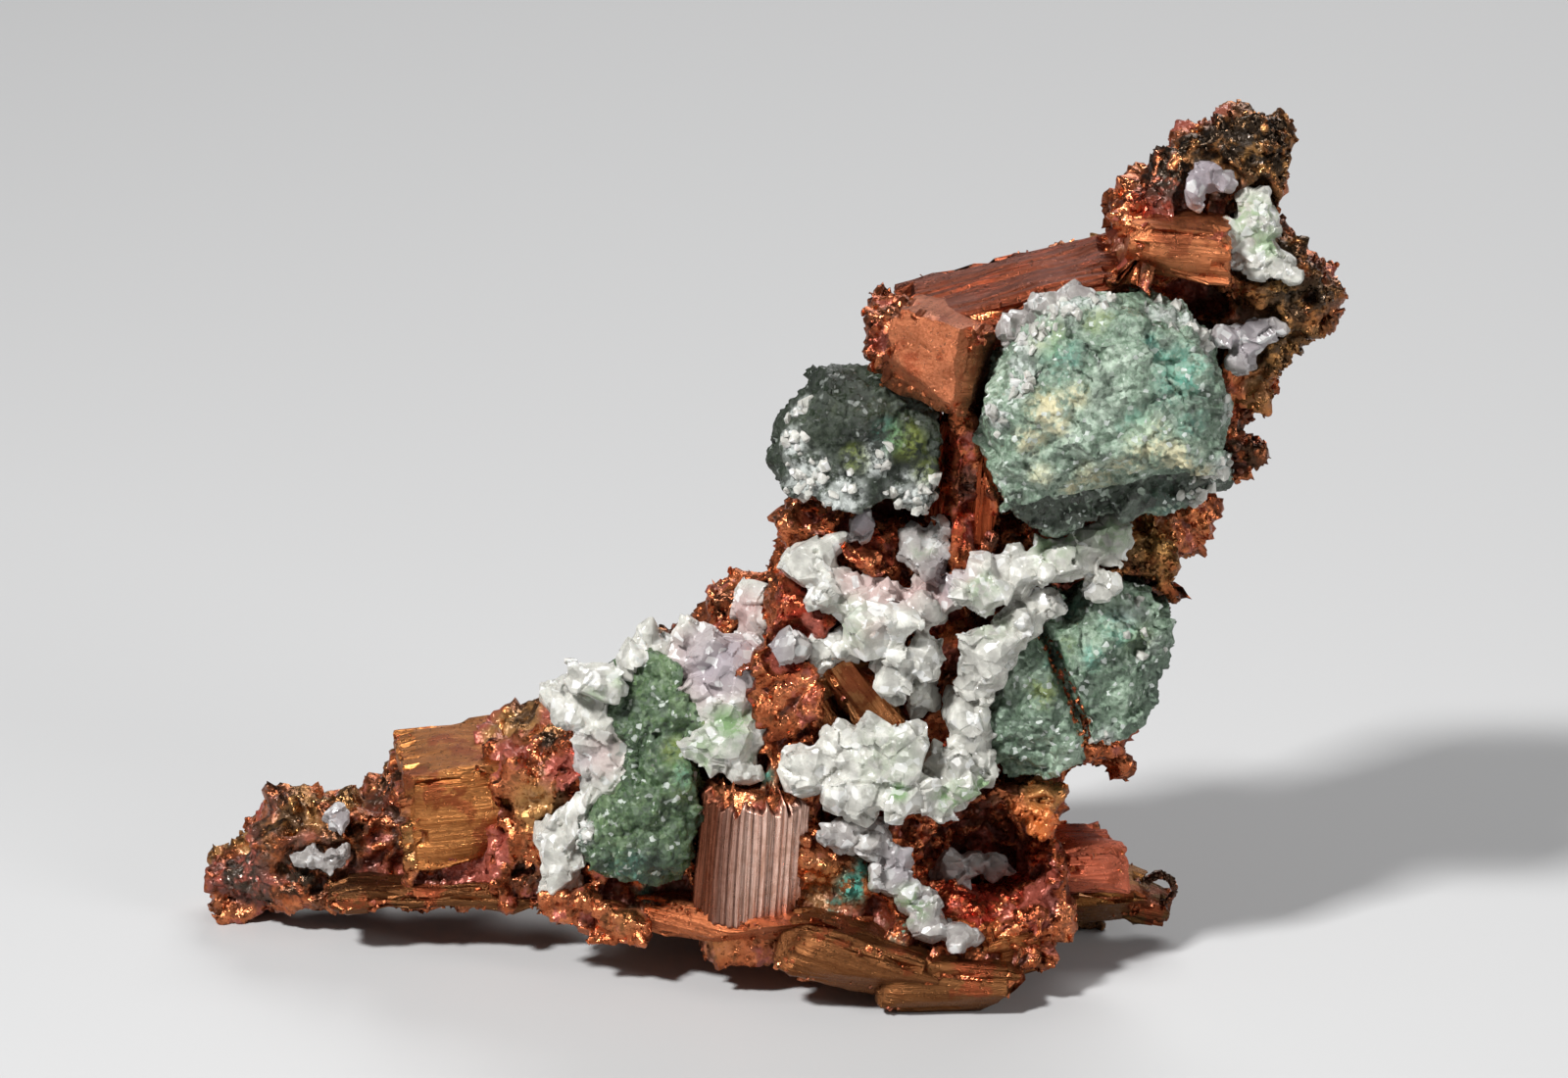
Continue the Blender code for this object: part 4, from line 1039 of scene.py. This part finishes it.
STONE_TINTS = {
    # each colour and its spots: pixel x and y, radius in mm and strength
    "white": ((0.62, 0.65, 0.62), [
        (1012, 430, 0.9, 0.8), (1008, 480, 0.9, 0.6), (1075, 322, 1.6, 0.9), (1110, 312, 1.3, 0.7),
        (1190, 328, 1.5, 0.9), (1218, 352, 1.2, 0.9), (1232, 482, 1.0, 0.9), (1215, 515, 1.0, 0.9),
        (1030, 390, 1.1, 0.8), (1045, 350, 1.2, 0.8), (1236, 420, 0.9, 0.6), (815, 490, 1.6, 0.9),
        (855, 505, 1.4, 0.9), (930, 510, 1.6, 0.9), (890, 470, 0.9, 0.8), (805, 455, 1.0, 0.9),
        (815, 420, 0.9, 0.8), (835, 525, 1.2, 0.9), (905, 520, 1.0, 0.8), (1020, 700, 0.7, 0.6),
        (1180, 660, 0.9, 0.6), (1125, 750, 1.0, 0.8), (1150, 625, 1.2, 0.6), (715, 840, 0.6, 0.5),
        (600, 850, 0.8, 0.7), (620, 700, 1.0, 0.6),
    ]),
    "cream": ((0.62, 0.56, 0.34), [
        (1062, 425, 1.3, 1.0), (1045, 452, 0.9, 0.9), (1088, 408, 0.9, 0.8), (1160, 452, 1.3, 0.8),
        (1190, 472, 1.3, 0.9), (1112, 484, 1.3, 0.8), (1216, 490, 0.9, 0.9), (1090, 497, 0.9, 0.8),
        (1070, 440, 0.8, 0.8), (1140, 480, 1.0, 0.8), (1055, 490, 0.9, 0.5),
    ]),
    "lime": ((0.22, 0.27, 0.05), [
        (848, 410, 1.0, 0.7), (872, 470, 0.8, 0.7), (922, 452, 1.2, 0.8), (942, 482, 0.8, 0.6),
        (1077, 655, 1.3, 0.8), (1060, 705, 1.0, 0.6), (1160, 650, 0.9, 0.5), (740, 738, 1.4, 0.9),
        (702, 792, 1.0, 0.6), (690, 765, 0.8, 0.6), (1120, 372, 1.0, 0.5), (1060, 350, 1.2, 0.5),
        (1110, 330, 1.0, 0.5), (720, 705, 1.0, 0.5), (1105, 545, 0.9, 0.6), (1185, 385, 0.9, 0.4),
        (1075, 590, 1.0, 0.5),
    ]),
    "sea": ((0.10, 0.33, 0.25), [
        (1190, 385, 1.6, 0.9), (1165, 360, 0.8, 0.9), (1180, 415, 1.2, 0.7), (1150, 440, 1.2, 0.6),
        (1210, 440, 1.2, 0.6), (1075, 375, 1.4, 0.5), (1180, 520, 1.2, 0.8), (1040, 545, 0.9, 0.7),
        (905, 445, 1.0, 0.4), (1075, 672, 0.9, 0.8), (1110, 668, 0.8, 0.6), (1082, 790, 0.6, 0.6),
        (700, 790, 0.8, 0.6), (712, 800, 0.6, 0.7), (640, 885, 1.2, 0.5), (1140, 640, 1.2, 0.5),
        (1095, 620, 0.8, 0.5),
    ]),
    # olive: a dark mineral, and painted shade in the spots just under the large stone's ledge
    "olive": ((0.020, 0.026, 0.014), [
        (1045, 532, 1.3, 1.0), (1078, 536, 1.3, 1.0), (1108, 520, 1.1, 1.0), (1140, 508, 1.0, 1.0),
        (1172, 504, 1.0, 1.0), (1200, 504, 0.9, 1.0), (1028, 512, 0.9, 0.8), (1224, 506, 0.7, 0.8),
        (1176, 356, 0.45, 1.0), (640, 880, 1.2, 0.4), (1085, 470, 1.0, 0.35), (860, 400, 1.8, 0.5),
    ]),
}


def green_rock(name, dark, middle, light, glitter):
    """Sugary rock: a grainy mix of greens with lime, cream, olive and white patches and glints; the olive
    also carries painted shade, and light grain specks are painted glints.
    """
    material, tree, shader = new_material(name.replace("_", " "))
    place = object_place(tree)
    patches = noise_in(tree, place, 3.0, 5.0, 0.6)
    grain = noise_in(tree, place, 0.32, 5.0, 0.8)
    mix = maths(tree, "ADD", maths(tree, "MULTIPLY", patches, 0.55), maths(tree, "MULTIPLY", grain, 0.45))
    colour = ramp(tree, mix, [(0.40, dark), (0.50, middle), (0.61, light)])
    ragged = noise_in(tree, place, 0.8, 6.0, 0.75)
    for mask, (tint, _) in STONE_TINTS.items():
        core = share_between(tree, attribute_in(tree, mask), 0.75, 1.0, 0.0, 0.8)
        share = maths(tree, "MAXIMUM", ragged_places(tree, mask, ragged, 0.40, 0.56), core)
        colour = blend_colour(tree, share, colour, tint)
    relief = maths(tree, "ADD", grain, maths(tree, "MULTIPLY", patches, 0.8))
    normal, cell = add_tilted_grains(tree, 4.2, glitter, bumps(tree, 0.8, 0.12, relief))
    # Light specks on some grains are painted glints; dark specks are darker grains.
    for low, high, share, tint in (
        (0.84, 0.92, 0.75 * glitter, light), (0.94, 0.97, 0.8 * glitter, (0.72, 0.76, 0.72)),
        (0.16, 0.08, 0.6, dark),
    ):
        colour = blend_colour(tree, share_between(tree, cell, low, high, 0.0, share), colour, tint)
    set_inputs(tree, shader, {
        "Base Color": colour, "Normal": normal, "IOR": 1.35 + 0.4 * glitter,
        "Roughness": share_between(tree, cell, 0.40, 0.80, 0.55, 0.10),
    })
    return material


def view_line(pixels):
    """A line of pixels of the photograph as across and up in mm."""
    return np.array([photo_mm(x, y) for x, y in pixels])


def below_line(points, pixels):
    """How far each point lies below a line of pixels in the front view, in mm."""
    view, line = front_view(points), view_line(pixels)
    return np.interp(view[:, 0], line[:, 0], line[:, 1]) - view[:, 1]


def beside_line(points, pixels):
    """How far each point lies to either side of a line of pixels in the front view, in mm."""
    view, line = front_view(points)[:, :2], view_line(pixels)
    nearest = np.full(len(points), 1e3)
    for start, end in zip(line, line[1:]):
        run = end - start
        share = np.clip((view - start) @ run / (run @ run), 0, 1)
        nearest = np.minimum(nearest, np.linalg.norm(view - start - share[:, None] * run, axis=1))
    return nearest


stone_pieces = {}
for seed, (node, look) in enumerate(STONE_LOOKS.items()):
    stone = merged_copy(f"{node}_rock", node)
    remesh(stone, STONE_VOXEL)
    modifier = stone.modifiers.new("Rounding", "SMOOTH")
    modifier.iterations = STONE_ROUNDING
    mesh = apply_modifiers(stone)
    points = points_of(mesh)
    facing = normals_of(mesh)
    points += facing * STONE_SWELL * MM
    points = cut_flat(points, STONE_FACES[node])
    colours = {}
    for name, (_, places) in STONE_TINTS.items():
        colours[name] = spots(points, front_surface, places)
    in_front = fade(front_view(points)[:, 2], -2.0, -4.0)
    seam = np.zeros(len(points))
    if node == "green_stone_large":
        below = below_line(points, LARGE_STONE_LEDGE)
        set_back = LEDGE_SET_BACK * in_front * fade(below, 0.0, 0.3)
        points[:, 1] += set_back * MM
        # The band under the ledge is painted shade in the olive colour.
        shade = fade(below, 0.0, 0.25) * (1 - fade(below, LEDGE_SHADE_HEIGHT, LEDGE_SHADE_HEIGHT + 0.6))
        colours["olive"] = np.maximum(colours["olive"], shade * in_front)
    if node == "green_stone_lobed":
        seam = in_front * (1 - fade(beside_line(points, LOBED_STONE_SEAM), 0.1, SEAM_WIDTH / 2))
        points[:, 1] += SEAM_DEPTH * seam * MM
    rise = facets(points, 2.4, 0.24, seed) + facets(points, 1.0, 0.24, seed)
    rise += STONE_GRAIN * (knobs(points, 0.40, seed) + knobs(points, 0.85, seed) - 1)
    rise += 0.14 * clouds(points, 1.4, 4, seed)
    move_points(mesh, points + facing * (rise * MM)[:, None])
    set_attribute(mesh, "seam", seam)
    for name, values in colours.items():
        set_attribute(mesh, name, values)
    mesh.materials.clear()
    mesh.materials.append(green_rock(node, *look))
    mesh.shade_smooth()
    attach(stone, "root")
    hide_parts(node)
    stone_pieces[node] = stone


# Milky quartz: blunt, intergrown crystals 1 to 4 mm long, white and cloudy with clearer, lilac and
# faintly green ones among them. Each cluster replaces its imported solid, crystal by crystal.
QUARTZ_SWELL = 0.04  # mm
QUARTZ_VOXEL = 0.085
QUARTZ_TRIANGLES_PER_CRYSTAL = 1500
CHISEL_WIDTH = 1.5  # mm, of the broken faces on the crystals
CHISEL_SLOPE = 0.20
SIDE_CRYSTALS = 6
CLEAR_SIDE_CRYSTALS = 3
QUARTZ_EDGE = math.radians(22)  # faces that meet more sharply show an edge
FACES_OF_A_CRYSTAL = 15
RIM_GRAINS_PER_MM2 = 3.2
RIM_GRAIN_SIZES = (0.3, 1.0)  # mm
SEAM_GRAINS_PER_MM2 = 6.0
SEAM_GRAIN_SIZES = (0.2, 0.6)
CLEAR_CLUSTERS = {
    # clusters of clear, single crystals, and how small they are for the room they have
    "quartz_shoulder": 0.72, "quartz_flank": 0.80, "quartz_brow": 0.90, "quartz_cavity": 0.92,
    "quartz_arm": 0.80, "quartz_arm_grain": 0.85, "quartz_grey_grain": 0.95,
    "quartz_pale_blade": 1.0, "quartz_ledge": 0.92, "quartz_neck": 1.0,
}
QUARTZ = {
    # across, up, depth, width, height, turn
    "quartz_left_drift": [
        (-8.9, 13.9, -4.6, 3.6, 1.9, -4), (-10.0, 12.6, -3.2, 2.4, 2.4, 20),
        (-8.9, 12.0, -3.4, 2.6, 3.2, 0), (-8.3, 10.6, -3.6, 2.8, 3.6, 12),
        (-7.6, 9.2, -4.2, 2.6, 2.8, -30), (-8.6, 8.0, -3.8, 2.6, 3.0, -30),
        (-9.6, 6.7, -3.8, 2.6, 3.6, -30), (-10.5, 5.2, -3.4, 2.6, 3.0, 30),
        (-10.6, 3.9, -3.6, 2.3, 2.6, 25),
    ],
    "quartz_left_crown": [
        (-6.0, 15.2, -2.8, 3.6, 2.3, 15), (-3.6, 15.3, -3.8, 4.2, 2.8, 8),
        (-1.9, 14.2, -4.3, 3.4, 3.6, 0), (-2.6, 12.8, -4.9, 4.0, 2.6, 25),
        (-1.0, 12.9, -4.5, 2.0, 4.0, 0), (-2.3, 10.8, -6.2, 4.0, 2.2, 8),
        (-1.3, 11.6, -5.2, 2.6, 2.8, 20), (-1.0, 9.5, -6.2, 1.5, 1.6, 30),
    ],
    "quartz_crest": [
        (-0.8, 18.1, -1.9, 2.2, 2.0, 0), (-0.5, 16.8, -2.4, 2.0, 2.4, 20),
    ],
    "quartz_centre": [
        (2.2, 19.8, -4.8, 2.8, 2.8, 10), (3.3, 18.6, -5.2, 3.0, 2.8, -35),
        (5.4, 18.1, -4.8, 3.9, 2.3, -8), (5.4, 16.8, -6.4, 3.8, 2.8, 12),
        (7.5, 17.6, -5.2, 3.2, 2.3, -15), (9.2, 18.3, -4.3, 2.6, 2.0, 10),
        (7.6, 15.2, -6.4, 2.5, 2.4, 0), (6.2, 14.2, -6.4, 2.0, 2.4, 15),
        (3.4, 15.5, -4.9, 3.2, 2.2, -12), (7.7, 13.4, -4.9, 2.0, 2.1, 30),
    ],
    "quartz_pale_blade": [
        (1.1, 15.6, -6.0, 2.3, 1.9, 20),
    ],
    "quartz_row": [
        (1.8, 9.2, -7.0, 2.4, 2.4, 20), (3.0, 10.1, -7.0, 1.9, 2.5, -12),
        (4.5, 10.0, -7.3, 2.7, 3.0, 15), (5.5, 11.1, -7.3, 2.8, 2.2, 0),
        (6.9, 10.3, -7.8, 2.3, 3.1, -15), (4.7, 8.4, -7.8, 3.5, 2.6, 5),
        (7.2, 8.2, -7.8, 4.2, 2.5, 4), (9.4, 8.9, -7.0, 3.8, 2.4, 8),
        (8.9, 9.6, -6.2, 3.2, 1.9, 5),
    ],
    "quartz_ledge": [
        (3.9, 6.1, -7.0, 2.4, 2.4, 0), (5.3, 5.8, -7.0, 2.2, 2.6, 20),
        (6.2, 4.2, -7.1, 2.4, 2.5, 30), (7.2, 2.9, -7.6, 1.9, 2.3, 10),
        (8.2, 1.5, -8.4, 2.1, 1.9, 0), (9.6, 1.0, -8.7, 2.1, 1.6, -10),
    ],
    "quartz_cavity": [
        (9.4, 4.3, -3.4, 1.9, 2.2, 0), (10.5, 4.6, -3.5, 1.6, 1.5, 15),
        (11.6, 4.4, -3.5, 1.7, 1.7, -15), (9.8, 3.0, -3.5, 1.5, 1.7, 25),
    ],
    "quartz_neck": [
        (7.4, 20.9, -4.1, 1.8, 2.1, 0), (8.6, 21.3, -4.3, 1.6, 1.8, -20),
        (8.0, 19.9, -4.5, 2.2, 2.0, 15),
    ],
    "quartz_underlip": [
        (10.9, 18.5, -6.2, 2.7, 2.5, 20), (12.4, 19.5, -5.0, 3.4, 2.3, 10),
        (14.5, 19.9, -5.2, 4.0, 2.4, 8), (16.2, 20.7, -4.6, 3.0, 2.2, 25),
        (17.5, 21.3, -4.5, 1.9, 2.1, 0),
    ],
    "quartz_right_drift": [
        (11.2, 15.6, -6.6, 3.6, 2.2, 35), (12.4, 16.8, -5.8, 3.1, 2.2, 25),
        (13.5, 17.7, -4.9, 3.4, 2.0, 10), (10.7, 14.4, -5.8, 2.4, 2.6, 8),
    ],
    "quartz_right_edge": [
        (10.2, 11.9, -5.8, 2.4, 3.2, 25), (10.4, 10.3, -5.6, 2.2, 2.4, 0),
    ],
    "quartz_knob": [
        (16.6, 18.8, -5.2, 1.9, 1.7, 20),
    ],
    "quartz_brow": [
        (12.3, 31.7, -5.3, 1.9, 1.8, 20), (13.7, 32.6, -5.4, 2.0, 1.7, 30),
        (15.2, 33.1, -5.2, 2.2, 1.7, 5),
    ],
    "quartz_top": [
        (24.3, 37.9, -0.9, 2.0, 2.2, 15), (24.6, 36.8, -1.2, 2.0, 2.0, 0),
        (23.7, 36.2, -1.2, 2.2, 2.2, 30), (24.5, 35.4, -1.7, 2.7, 1.9, 10),
        (25.5, 34.9, -2.0, 2.0, 1.8, -25),
    ],
    "quartz_shoulder": [
        (21.9, 39.5, -1.5, 2.1, 1.9, 0), (21.3, 38.4, -1.7, 1.6, 2.1, 10),
        (22.8, 39.0, -1.4, 1.6, 1.8, 30),
    ],
    "quartz_flank": [
        (22.8, 31.3, -2.0, 1.9, 1.8, 10), (23.9, 30.3, -1.9, 2.1, 1.9, 40),
        (24.6, 31.6, -1.8, 2.9, 1.8, 10),
    ],
    "quartz_arm": [
        (-24.2, 4.5, 0.8, 1.8, 1.3, 10), (-23.1, 4.3, 0.6, 1.9, 1.1, -5),
        (-22.2, 4.5, 0.8, 1.2, 1.2, 0),
    ],
    "quartz_arm_grain": [
        (-22.2, 6.6, 0.8, 1.4, 1.6, 10),
    ],
    "quartz_grey_grain": [
        (4.6, 21.8, -3.9, 1.4, 1.7, 0),
    ],
}
QUARTZ_TINTS = {
    # spots of each colour: pixel x and y, radius in mm and strength
    "pink": [
        (730, 680, 2.6, 0.8), (715, 700, 1.6, 0.6), (760, 660, 1.6, 0.7), (615, 770, 1.4, 0.5),
        (900, 605, 1.8, 0.8), (930, 612, 1.6, 0.8), (960, 600, 1.5, 0.8), (870, 590, 1.2, 0.6),
        (765, 625, 1.4, 0.9), (745, 690, 1.5, 0.5), (700, 665, 1.4, 0.5), (990, 590, 1.2, 0.5),
        (940, 700, 1.4, 0.5), (985, 890, 1.4, 0.6), (610, 760, 1.0, 0.5), (1215, 185, 1.8, 0.8),
        (660, 660, 1.2, 0.4), (890, 640, 0.8, 0.5),
    ],
    "smoky": [
        (1215, 185, 2.6, 0.9), (1180, 180, 1.2, 0.9), (1235, 345, 1.6, 0.6), (1270, 350, 2.0, 0.7),
        (940, 700, 1.2, 0.8), (975, 590, 1.6, 0.7), (1000, 570, 1.2, 0.5), (925, 880, 1.6, 0.6),
        (985, 890, 1.8, 0.4), (790, 660, 1.4, 0.6), (880, 535, 0.9, 0.9), (850, 675, 1.6, 0.5),
        (340, 840, 1.6, 0.4), (600, 760, 1.8, 0.7), (735, 675, 2.4, 0.9), (950, 660, 1.0, 0.4),
        (1010, 420, 1.0, 0.6),
    ],
    "green": [
        (590, 695, 1.4, 0.8), (610, 710, 1.0, 0.7), (915, 803, 0.7, 1.0), (985, 805, 1.0, 1.0),
        (965, 812, 0.8, 0.9), (1000, 795, 0.8, 0.9), (1270, 230, 1.4, 0.7), (1285, 255, 1.0, 0.7),
        (745, 740, 1.5, 0.9), (720, 765, 1.2, 0.6), (880, 910, 1.4, 0.9), (930, 920, 1.2, 0.7),
        (1075, 560, 1.6, 0.7), (1045, 545, 1.2, 0.6), (1130, 545, 1.2, 0.6), (1000, 600, 1.0, 0.5),
        (870, 635, 1.6, 0.3), (905, 770, 2.0, 0.25), (1010, 640, 1.2, 0.3), (640, 690, 1.0, 0.5),
        (760, 770, 1.0, 0.4), (940, 560, 0.8, 0.4),
    ],
}


def random_turn(rng):
    axis = Vector([rng.gauss(0, 1) for _ in range(3)])
    return Matrix.Rotation(rng.uniform(0, math.tau), 4, axis)


def blocky_crystal(bm, rng, place, radii):
    """The room inside flat faces spread round an ellipsoid, some nearer its middle than others."""
    golden_angle = math.pi * (3 - math.sqrt(5))
    spin = random_turn(rng)
    poles = bmesh.new()
    for index in range(FACES_OF_A_CRYSTAL):
        level = 1 - 2 * (index + 0.5) / FACES_OF_A_CRYSTAL
        ring = math.sqrt(1 - level * level)
        angle = golden_angle * index
        direction = spin @ Vector((ring * math.cos(angle), ring * math.sin(angle), level))
        direction = (direction + Vector([rng.uniform(-0.3, 0.3) for _ in range(3)])).normalized()
        poles.verts.new(direction / rng.uniform(0.74, 0.94))
    bmesh.ops.convex_hull(poles, input=list(poles.verts))
    corners = []
    for face in poles.faces:
        face.normal_update()
        corner = face.normal / face.normal.dot(face.verts[0].co)
        corners.append(corner * min(1.0, 1.18 / corner.length))
    poles.free()
    verts = [bm.verts.new(place @ Vector(c * r for c, r in zip(corner, radii))) for corner in corners]
    bmesh.ops.convex_hull(bm, input=verts)


def pointed_crystal(bm, rng, place, radii):
    """A six-sided crystal with blunt points at both ends and slightly uneven sides."""
    sides = [rng.uniform(0.86, 1.12) for _ in range(6)]
    tip = rng.uniform(0.35, 0.6)
    verts = []
    for level, share in ((-1, 0.25), (-1 + tip, 1), (1 - tip, 1), (1, 0.15)):
        for corner in range(6):
            angle = math.tau * (corner + 0.5) / 6
            point = Vector((math.cos(angle), math.sin(angle), 0)) * (share * sides[corner])
            point.z = level + rng.uniform(-0.06, 0.06)
            verts.append(bm.verts.new(place @ Vector(p * r for p, r in zip(point, radii))))
    bmesh.ops.convex_hull(bm, input=verts)


def quartz_cluster(name, crystals):
    """A cluster's crystals, each with smaller ones grown out of its sides, as one surface."""
    rng = random.Random(name)
    bm = bmesh.new()
    share = CLEAR_CLUSTERS.get(name, 1.0)
    side_crystals = CLEAR_SIDE_CRYSTALS if name in CLEAR_CLUSTERS else SIDE_CRYSTALS
    for across, up, depth, width, height, turn in crystals:
        thickness = 0.85 * min(width, height) + 0.15 * max(width, height)
        radii = (Vector((width, thickness, height)) / 2 * share + Vector((QUARTZ_SWELL,) * 3)) * MM
        place = crystal_place(across, up, depth, turn, rng.uniform(-15, 15), rng.uniform(-12, 12))
        blocky_crystal(bm, rng, place, radii * rng.uniform(0.94, 1.14))
        for _ in range(side_crystals):
            side = Vector([rng.gauss(0, 1) for _ in range(3)]).normalized()
            at = Matrix.Translation(place @ Vector(s * r * 0.66 for s, r in zip(side, radii)))
            size = min(width, height) * rng.uniform(0.14, 0.40) * MM
            if rng.random() < 0.5:
                lean = side.to_track_quat("Z", "X").to_matrix().to_4x4()
                pointed_crystal(bm, rng, at @ lean, Vector((size * 0.8, size * 0.8, size * 1.6)))
            else:
                blocky_crystal(bm, rng, at @ random_turn(rng), Vector((size, size * 1.2, size * 1.45)))
    cluster = piece_of(f"{name}_crystals", mesh_from(bm, name))
    remesh(cluster, QUARTZ_VOXEL)
    points = points_of(cluster.data)
    chisel = facets(points, CHISEL_WIDTH, CHISEL_SLOPE) - CHISEL_WIDTH * CHISEL_SLOPE / 4
    move_points(cluster.data, points + normals_of(cluster.data) * chisel[:, None] * MM)
    mesh = thin_out(cluster, QUARTZ_TRIANGLES_PER_CRYSTAL * len(crystals))
    move_points(mesh, points_of(mesh))
    mesh.shade_smooth()
    mesh.set_sharp_from_angle(angle=QUARTZ_EDGE)
    return cluster


def quartz(name, veil_colours, clearness, depth):
    """Quartz: light passes some way into it; cloudy veils, with lilac, smoky and green tints."""
    material, tree, shader = new_material(name)
    place = object_place(tree)
    veils = noise_in(tree, place, 1.1, 6.0, 0.65)
    relief = maths(tree, "ADD", noise_in(tree, place, 0.3, 4.0), maths(tree, "MULTIPLY", veils, 2.0))
    normal, cell = add_tilted_grains(tree, 2.2, 0.42, bumps(tree, 0.5, 0.05, relief))
    colour = ramp(tree, veils, list(zip((0.32, 0.50, 0.66), veil_colours)))
    for share, tint in (
        (attribute_in(tree, "pink"), (0.56, 0.38, 0.36)),
        (attribute_in(tree, "smoky"), (0.38, 0.34, 0.37)),
        (ragged_places(tree, "green", noise_in(tree, place, 0.7, 5.0), 0.38, 0.55), (0.20, 0.34, 0.14)),
        (share_between(tree, cell, 0.80, 0.95, 0.0, 0.7), (0.90, 0.90, 0.88)),
    ):
        colour = blend_colour(tree, share, colour, tint)
    set_inputs(tree, shader, {
        "Base Color": colour, "Normal": normal, "IOR": 1.54, "Transmission Weight": clearness,
        "Roughness": share_between(tree, cell, 0.30, 0.90, 0.38, 0.05),
        "Subsurface Weight": 0.45, "Subsurface Radius": (0.9, 1.0, 1.0), "Subsurface Scale": depth * MM,
    })
    return material


milky_quartz = quartz(
    "milky quartz", ((0.35, 0.34, 0.31), (0.53, 0.52, 0.47), (0.78, 0.77, 0.70)), 0.15, 0.5,
)
clear_quartz = quartz(
    "clear quartz", ((0.27, 0.24, 0.23), (0.42, 0.39, 0.37), (0.60, 0.57, 0.53)), 0.28, 0.6,
)
for node, crystals_of_cluster in QUARTZ.items():
    cluster = quartz_cluster(node, crystals_of_cluster)
    points = points_of(cluster.data)
    for name, places in QUARTZ_TINTS.items():
        set_attribute(cluster.data, name, spots(points, front_surface, places))
    cluster.data.materials.append(clear_quartz if node in CLEAR_CLUSTERS else milky_quartz)
    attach(cluster, "root")
    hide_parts(node)

quartz_grains = grain_shapes("quartz grains", 14, (0.9, 0.8, 1.0, 0.7, 0.85))
for seed, (node, stone) in enumerate(stone_pieces.items()):
    rim = scatter(
        f"{node}_rim", stone, "white", RIM_GRAINS_PER_MM2, RIM_GRAIN_SIZES, quartz_grains,
        milky_quartz, seed,
    )
    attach(rim, "root")
seam_crust = scatter(
    "seam_crust", stone_pieces["green_stone_lobed"], "seam", SEAM_GRAINS_PER_MM2, SEAM_GRAIN_SIZES,
    copper_grains, copper_material, 9,
)
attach(seam_crust, "root")


# Curled copper: a springy wire at the very top, a twig at the right of the column, a spike at the
# right of the tips and a small dark ring at the end of the limb. They are tapered, kinked strands
# that grew out of the mass.
STRANDS = {
    # points as pixels of the front view and depths in mm, then the thickness in mm
    "top wire": (
        [(1240, 150, 1.0), (1242, 136, 0.9), (1250, 128, 0.7), (1246, 119, 0.5), (1254, 112, 0.6)],
        0.34,
    ),
    "side twig": ([(1172, 640, -1.2), (1186, 634, -1.6), (1192, 622, -1.8), (1186, 612, -1.6)], 0.42),
    "end ring": (
        [(1176, 905, 1.0), (1188, 897, 0.8), (1201, 902, 0.7), (1206, 915, 0.8), (1198, 927, 1.0),
         (1184, 926, 1.2)],
        0.5,
    ),
    "right spike": ([(1336, 318, -0.4), (1352, 322, -0.6), (1366, 318, -0.7)], 0.34),
}
STRAND_SIDES = 9
STRAND_STEPS = 10


def add_strand(bm, rng, places, thickness):
    """A lumpy tube through these places, thinner towards its end."""
    path = [seen_at(*photo_mm(x, y), depth) for x, y, depth in places]
    rings = []
    steps = (len(path) - 1) * STRAND_STEPS
    for step in range(steps + 1):
        leg = min(step // STRAND_STEPS, len(path) - 2)
        share = step / STRAND_STEPS - leg
        middle = path[leg].lerp(path[leg + 1], share)
        run = (path[leg + 1] - path[leg]).to_track_quat("Z", "X").to_matrix()
        radius = thickness / 2 * (1 - 0.5 * step / steps)
        ring = []
        for side in range(STRAND_SIDES):
            angle = math.tau * side / STRAND_SIDES
            out = radius * rng.uniform(0.75, 1.3) * MM
            corner = run @ Vector((out * math.cos(angle), out * math.sin(angle), 0))
            ring.append(bm.verts.new(middle + corner))
        rings.append(ring)
    skin_rings(bm, rings)


bm = bmesh.new()
rng = random.Random("strands")
for places, thickness in STRANDS.values():
    add_strand(bm, rng, places, thickness)
bmesh.ops.recalc_face_normals(bm, faces=bm.faces)
mesh = mesh_from(bm, "copper_strands")
points = points_of(mesh)
move_points(mesh, points)
set_attribute(mesh, "dark", np.full(len(points), 0.9))
mesh.materials.append(copper_material)
strands = piece_of("copper_strands", mesh)
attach(strands, "root")
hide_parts("copper")


# The studio: a plain pale table, a soft light from the upper left, a weaker one from the right and
# a wide one from behind, and the photograph's long lens, looking 18 degrees down.
CAMERA_DISTANCE = 0.40  # metres
FLOOR_SIZE = 3.0
CLUSTER_MIDDLE = seen_at(0.75, 21.1, 0)


def area_light(name, place, size, power):
    """A soft light that points at the middle of the specimen."""
    data = bpy.data.lights.new(name, "AREA")
    data.shape = "RECTANGLE"
    data.size, data.size_y = size
    data.energy = power
    light = piece_of(name, data)
    light.location = place
    light.rotation_euler = (CLUSTER_MIDDLE - Vector(place)).to_track_quat("-Z", "Y").to_euler()


bm = bmesh.new()
bmesh.ops.create_grid(bm, x_segments=1, y_segments=1, size=FLOOR_SIZE / 2)
floor = piece_of("floor", mesh_from(bm, "floor"))
floor_material, _, floor_shader = new_material("pale table")
floor_shader.inputs["Base Color"].default_value = (0.50, 0.50, 0.50, 1)
floor_shader.inputs["Roughness"].default_value = 0.55
floor.data.materials.append(floor_material)

area_light("key light", (-0.22, -0.24, 0.36), (0.07, 0.05), 3.3)
area_light("fill light", (0.40, -0.26, 0.20), (0.16, 0.16), 0.8)
area_light("rim light", (0.10, 0.36, 0.30), (0.30, 0.16), 0.9)

world = bpy.data.worlds.new("studio")
world.use_nodes = True
background = world.node_tree.nodes["Background"]
background.inputs["Color"].default_value = (0.80, 0.82, 0.86, 1)
background.inputs["Strength"].default_value = 0.13
bpy.context.scene.world = world
bpy.context.scene.view_settings.view_transform = "Standard"

camera_data = bpy.data.cameras.new("camera")
camera_data.lens = 180
camera_data.sensor_width = 36
camera_data.clip_start = 0.01
camera = piece_of("camera", camera_data)
camera.location = CLUSTER_MIDDLE - SIGHT * CAMERA_DISTANCE
camera.rotation_euler = SIGHT.to_track_quat("-Z", "Y").to_euler()
bpy.context.scene.camera = camera
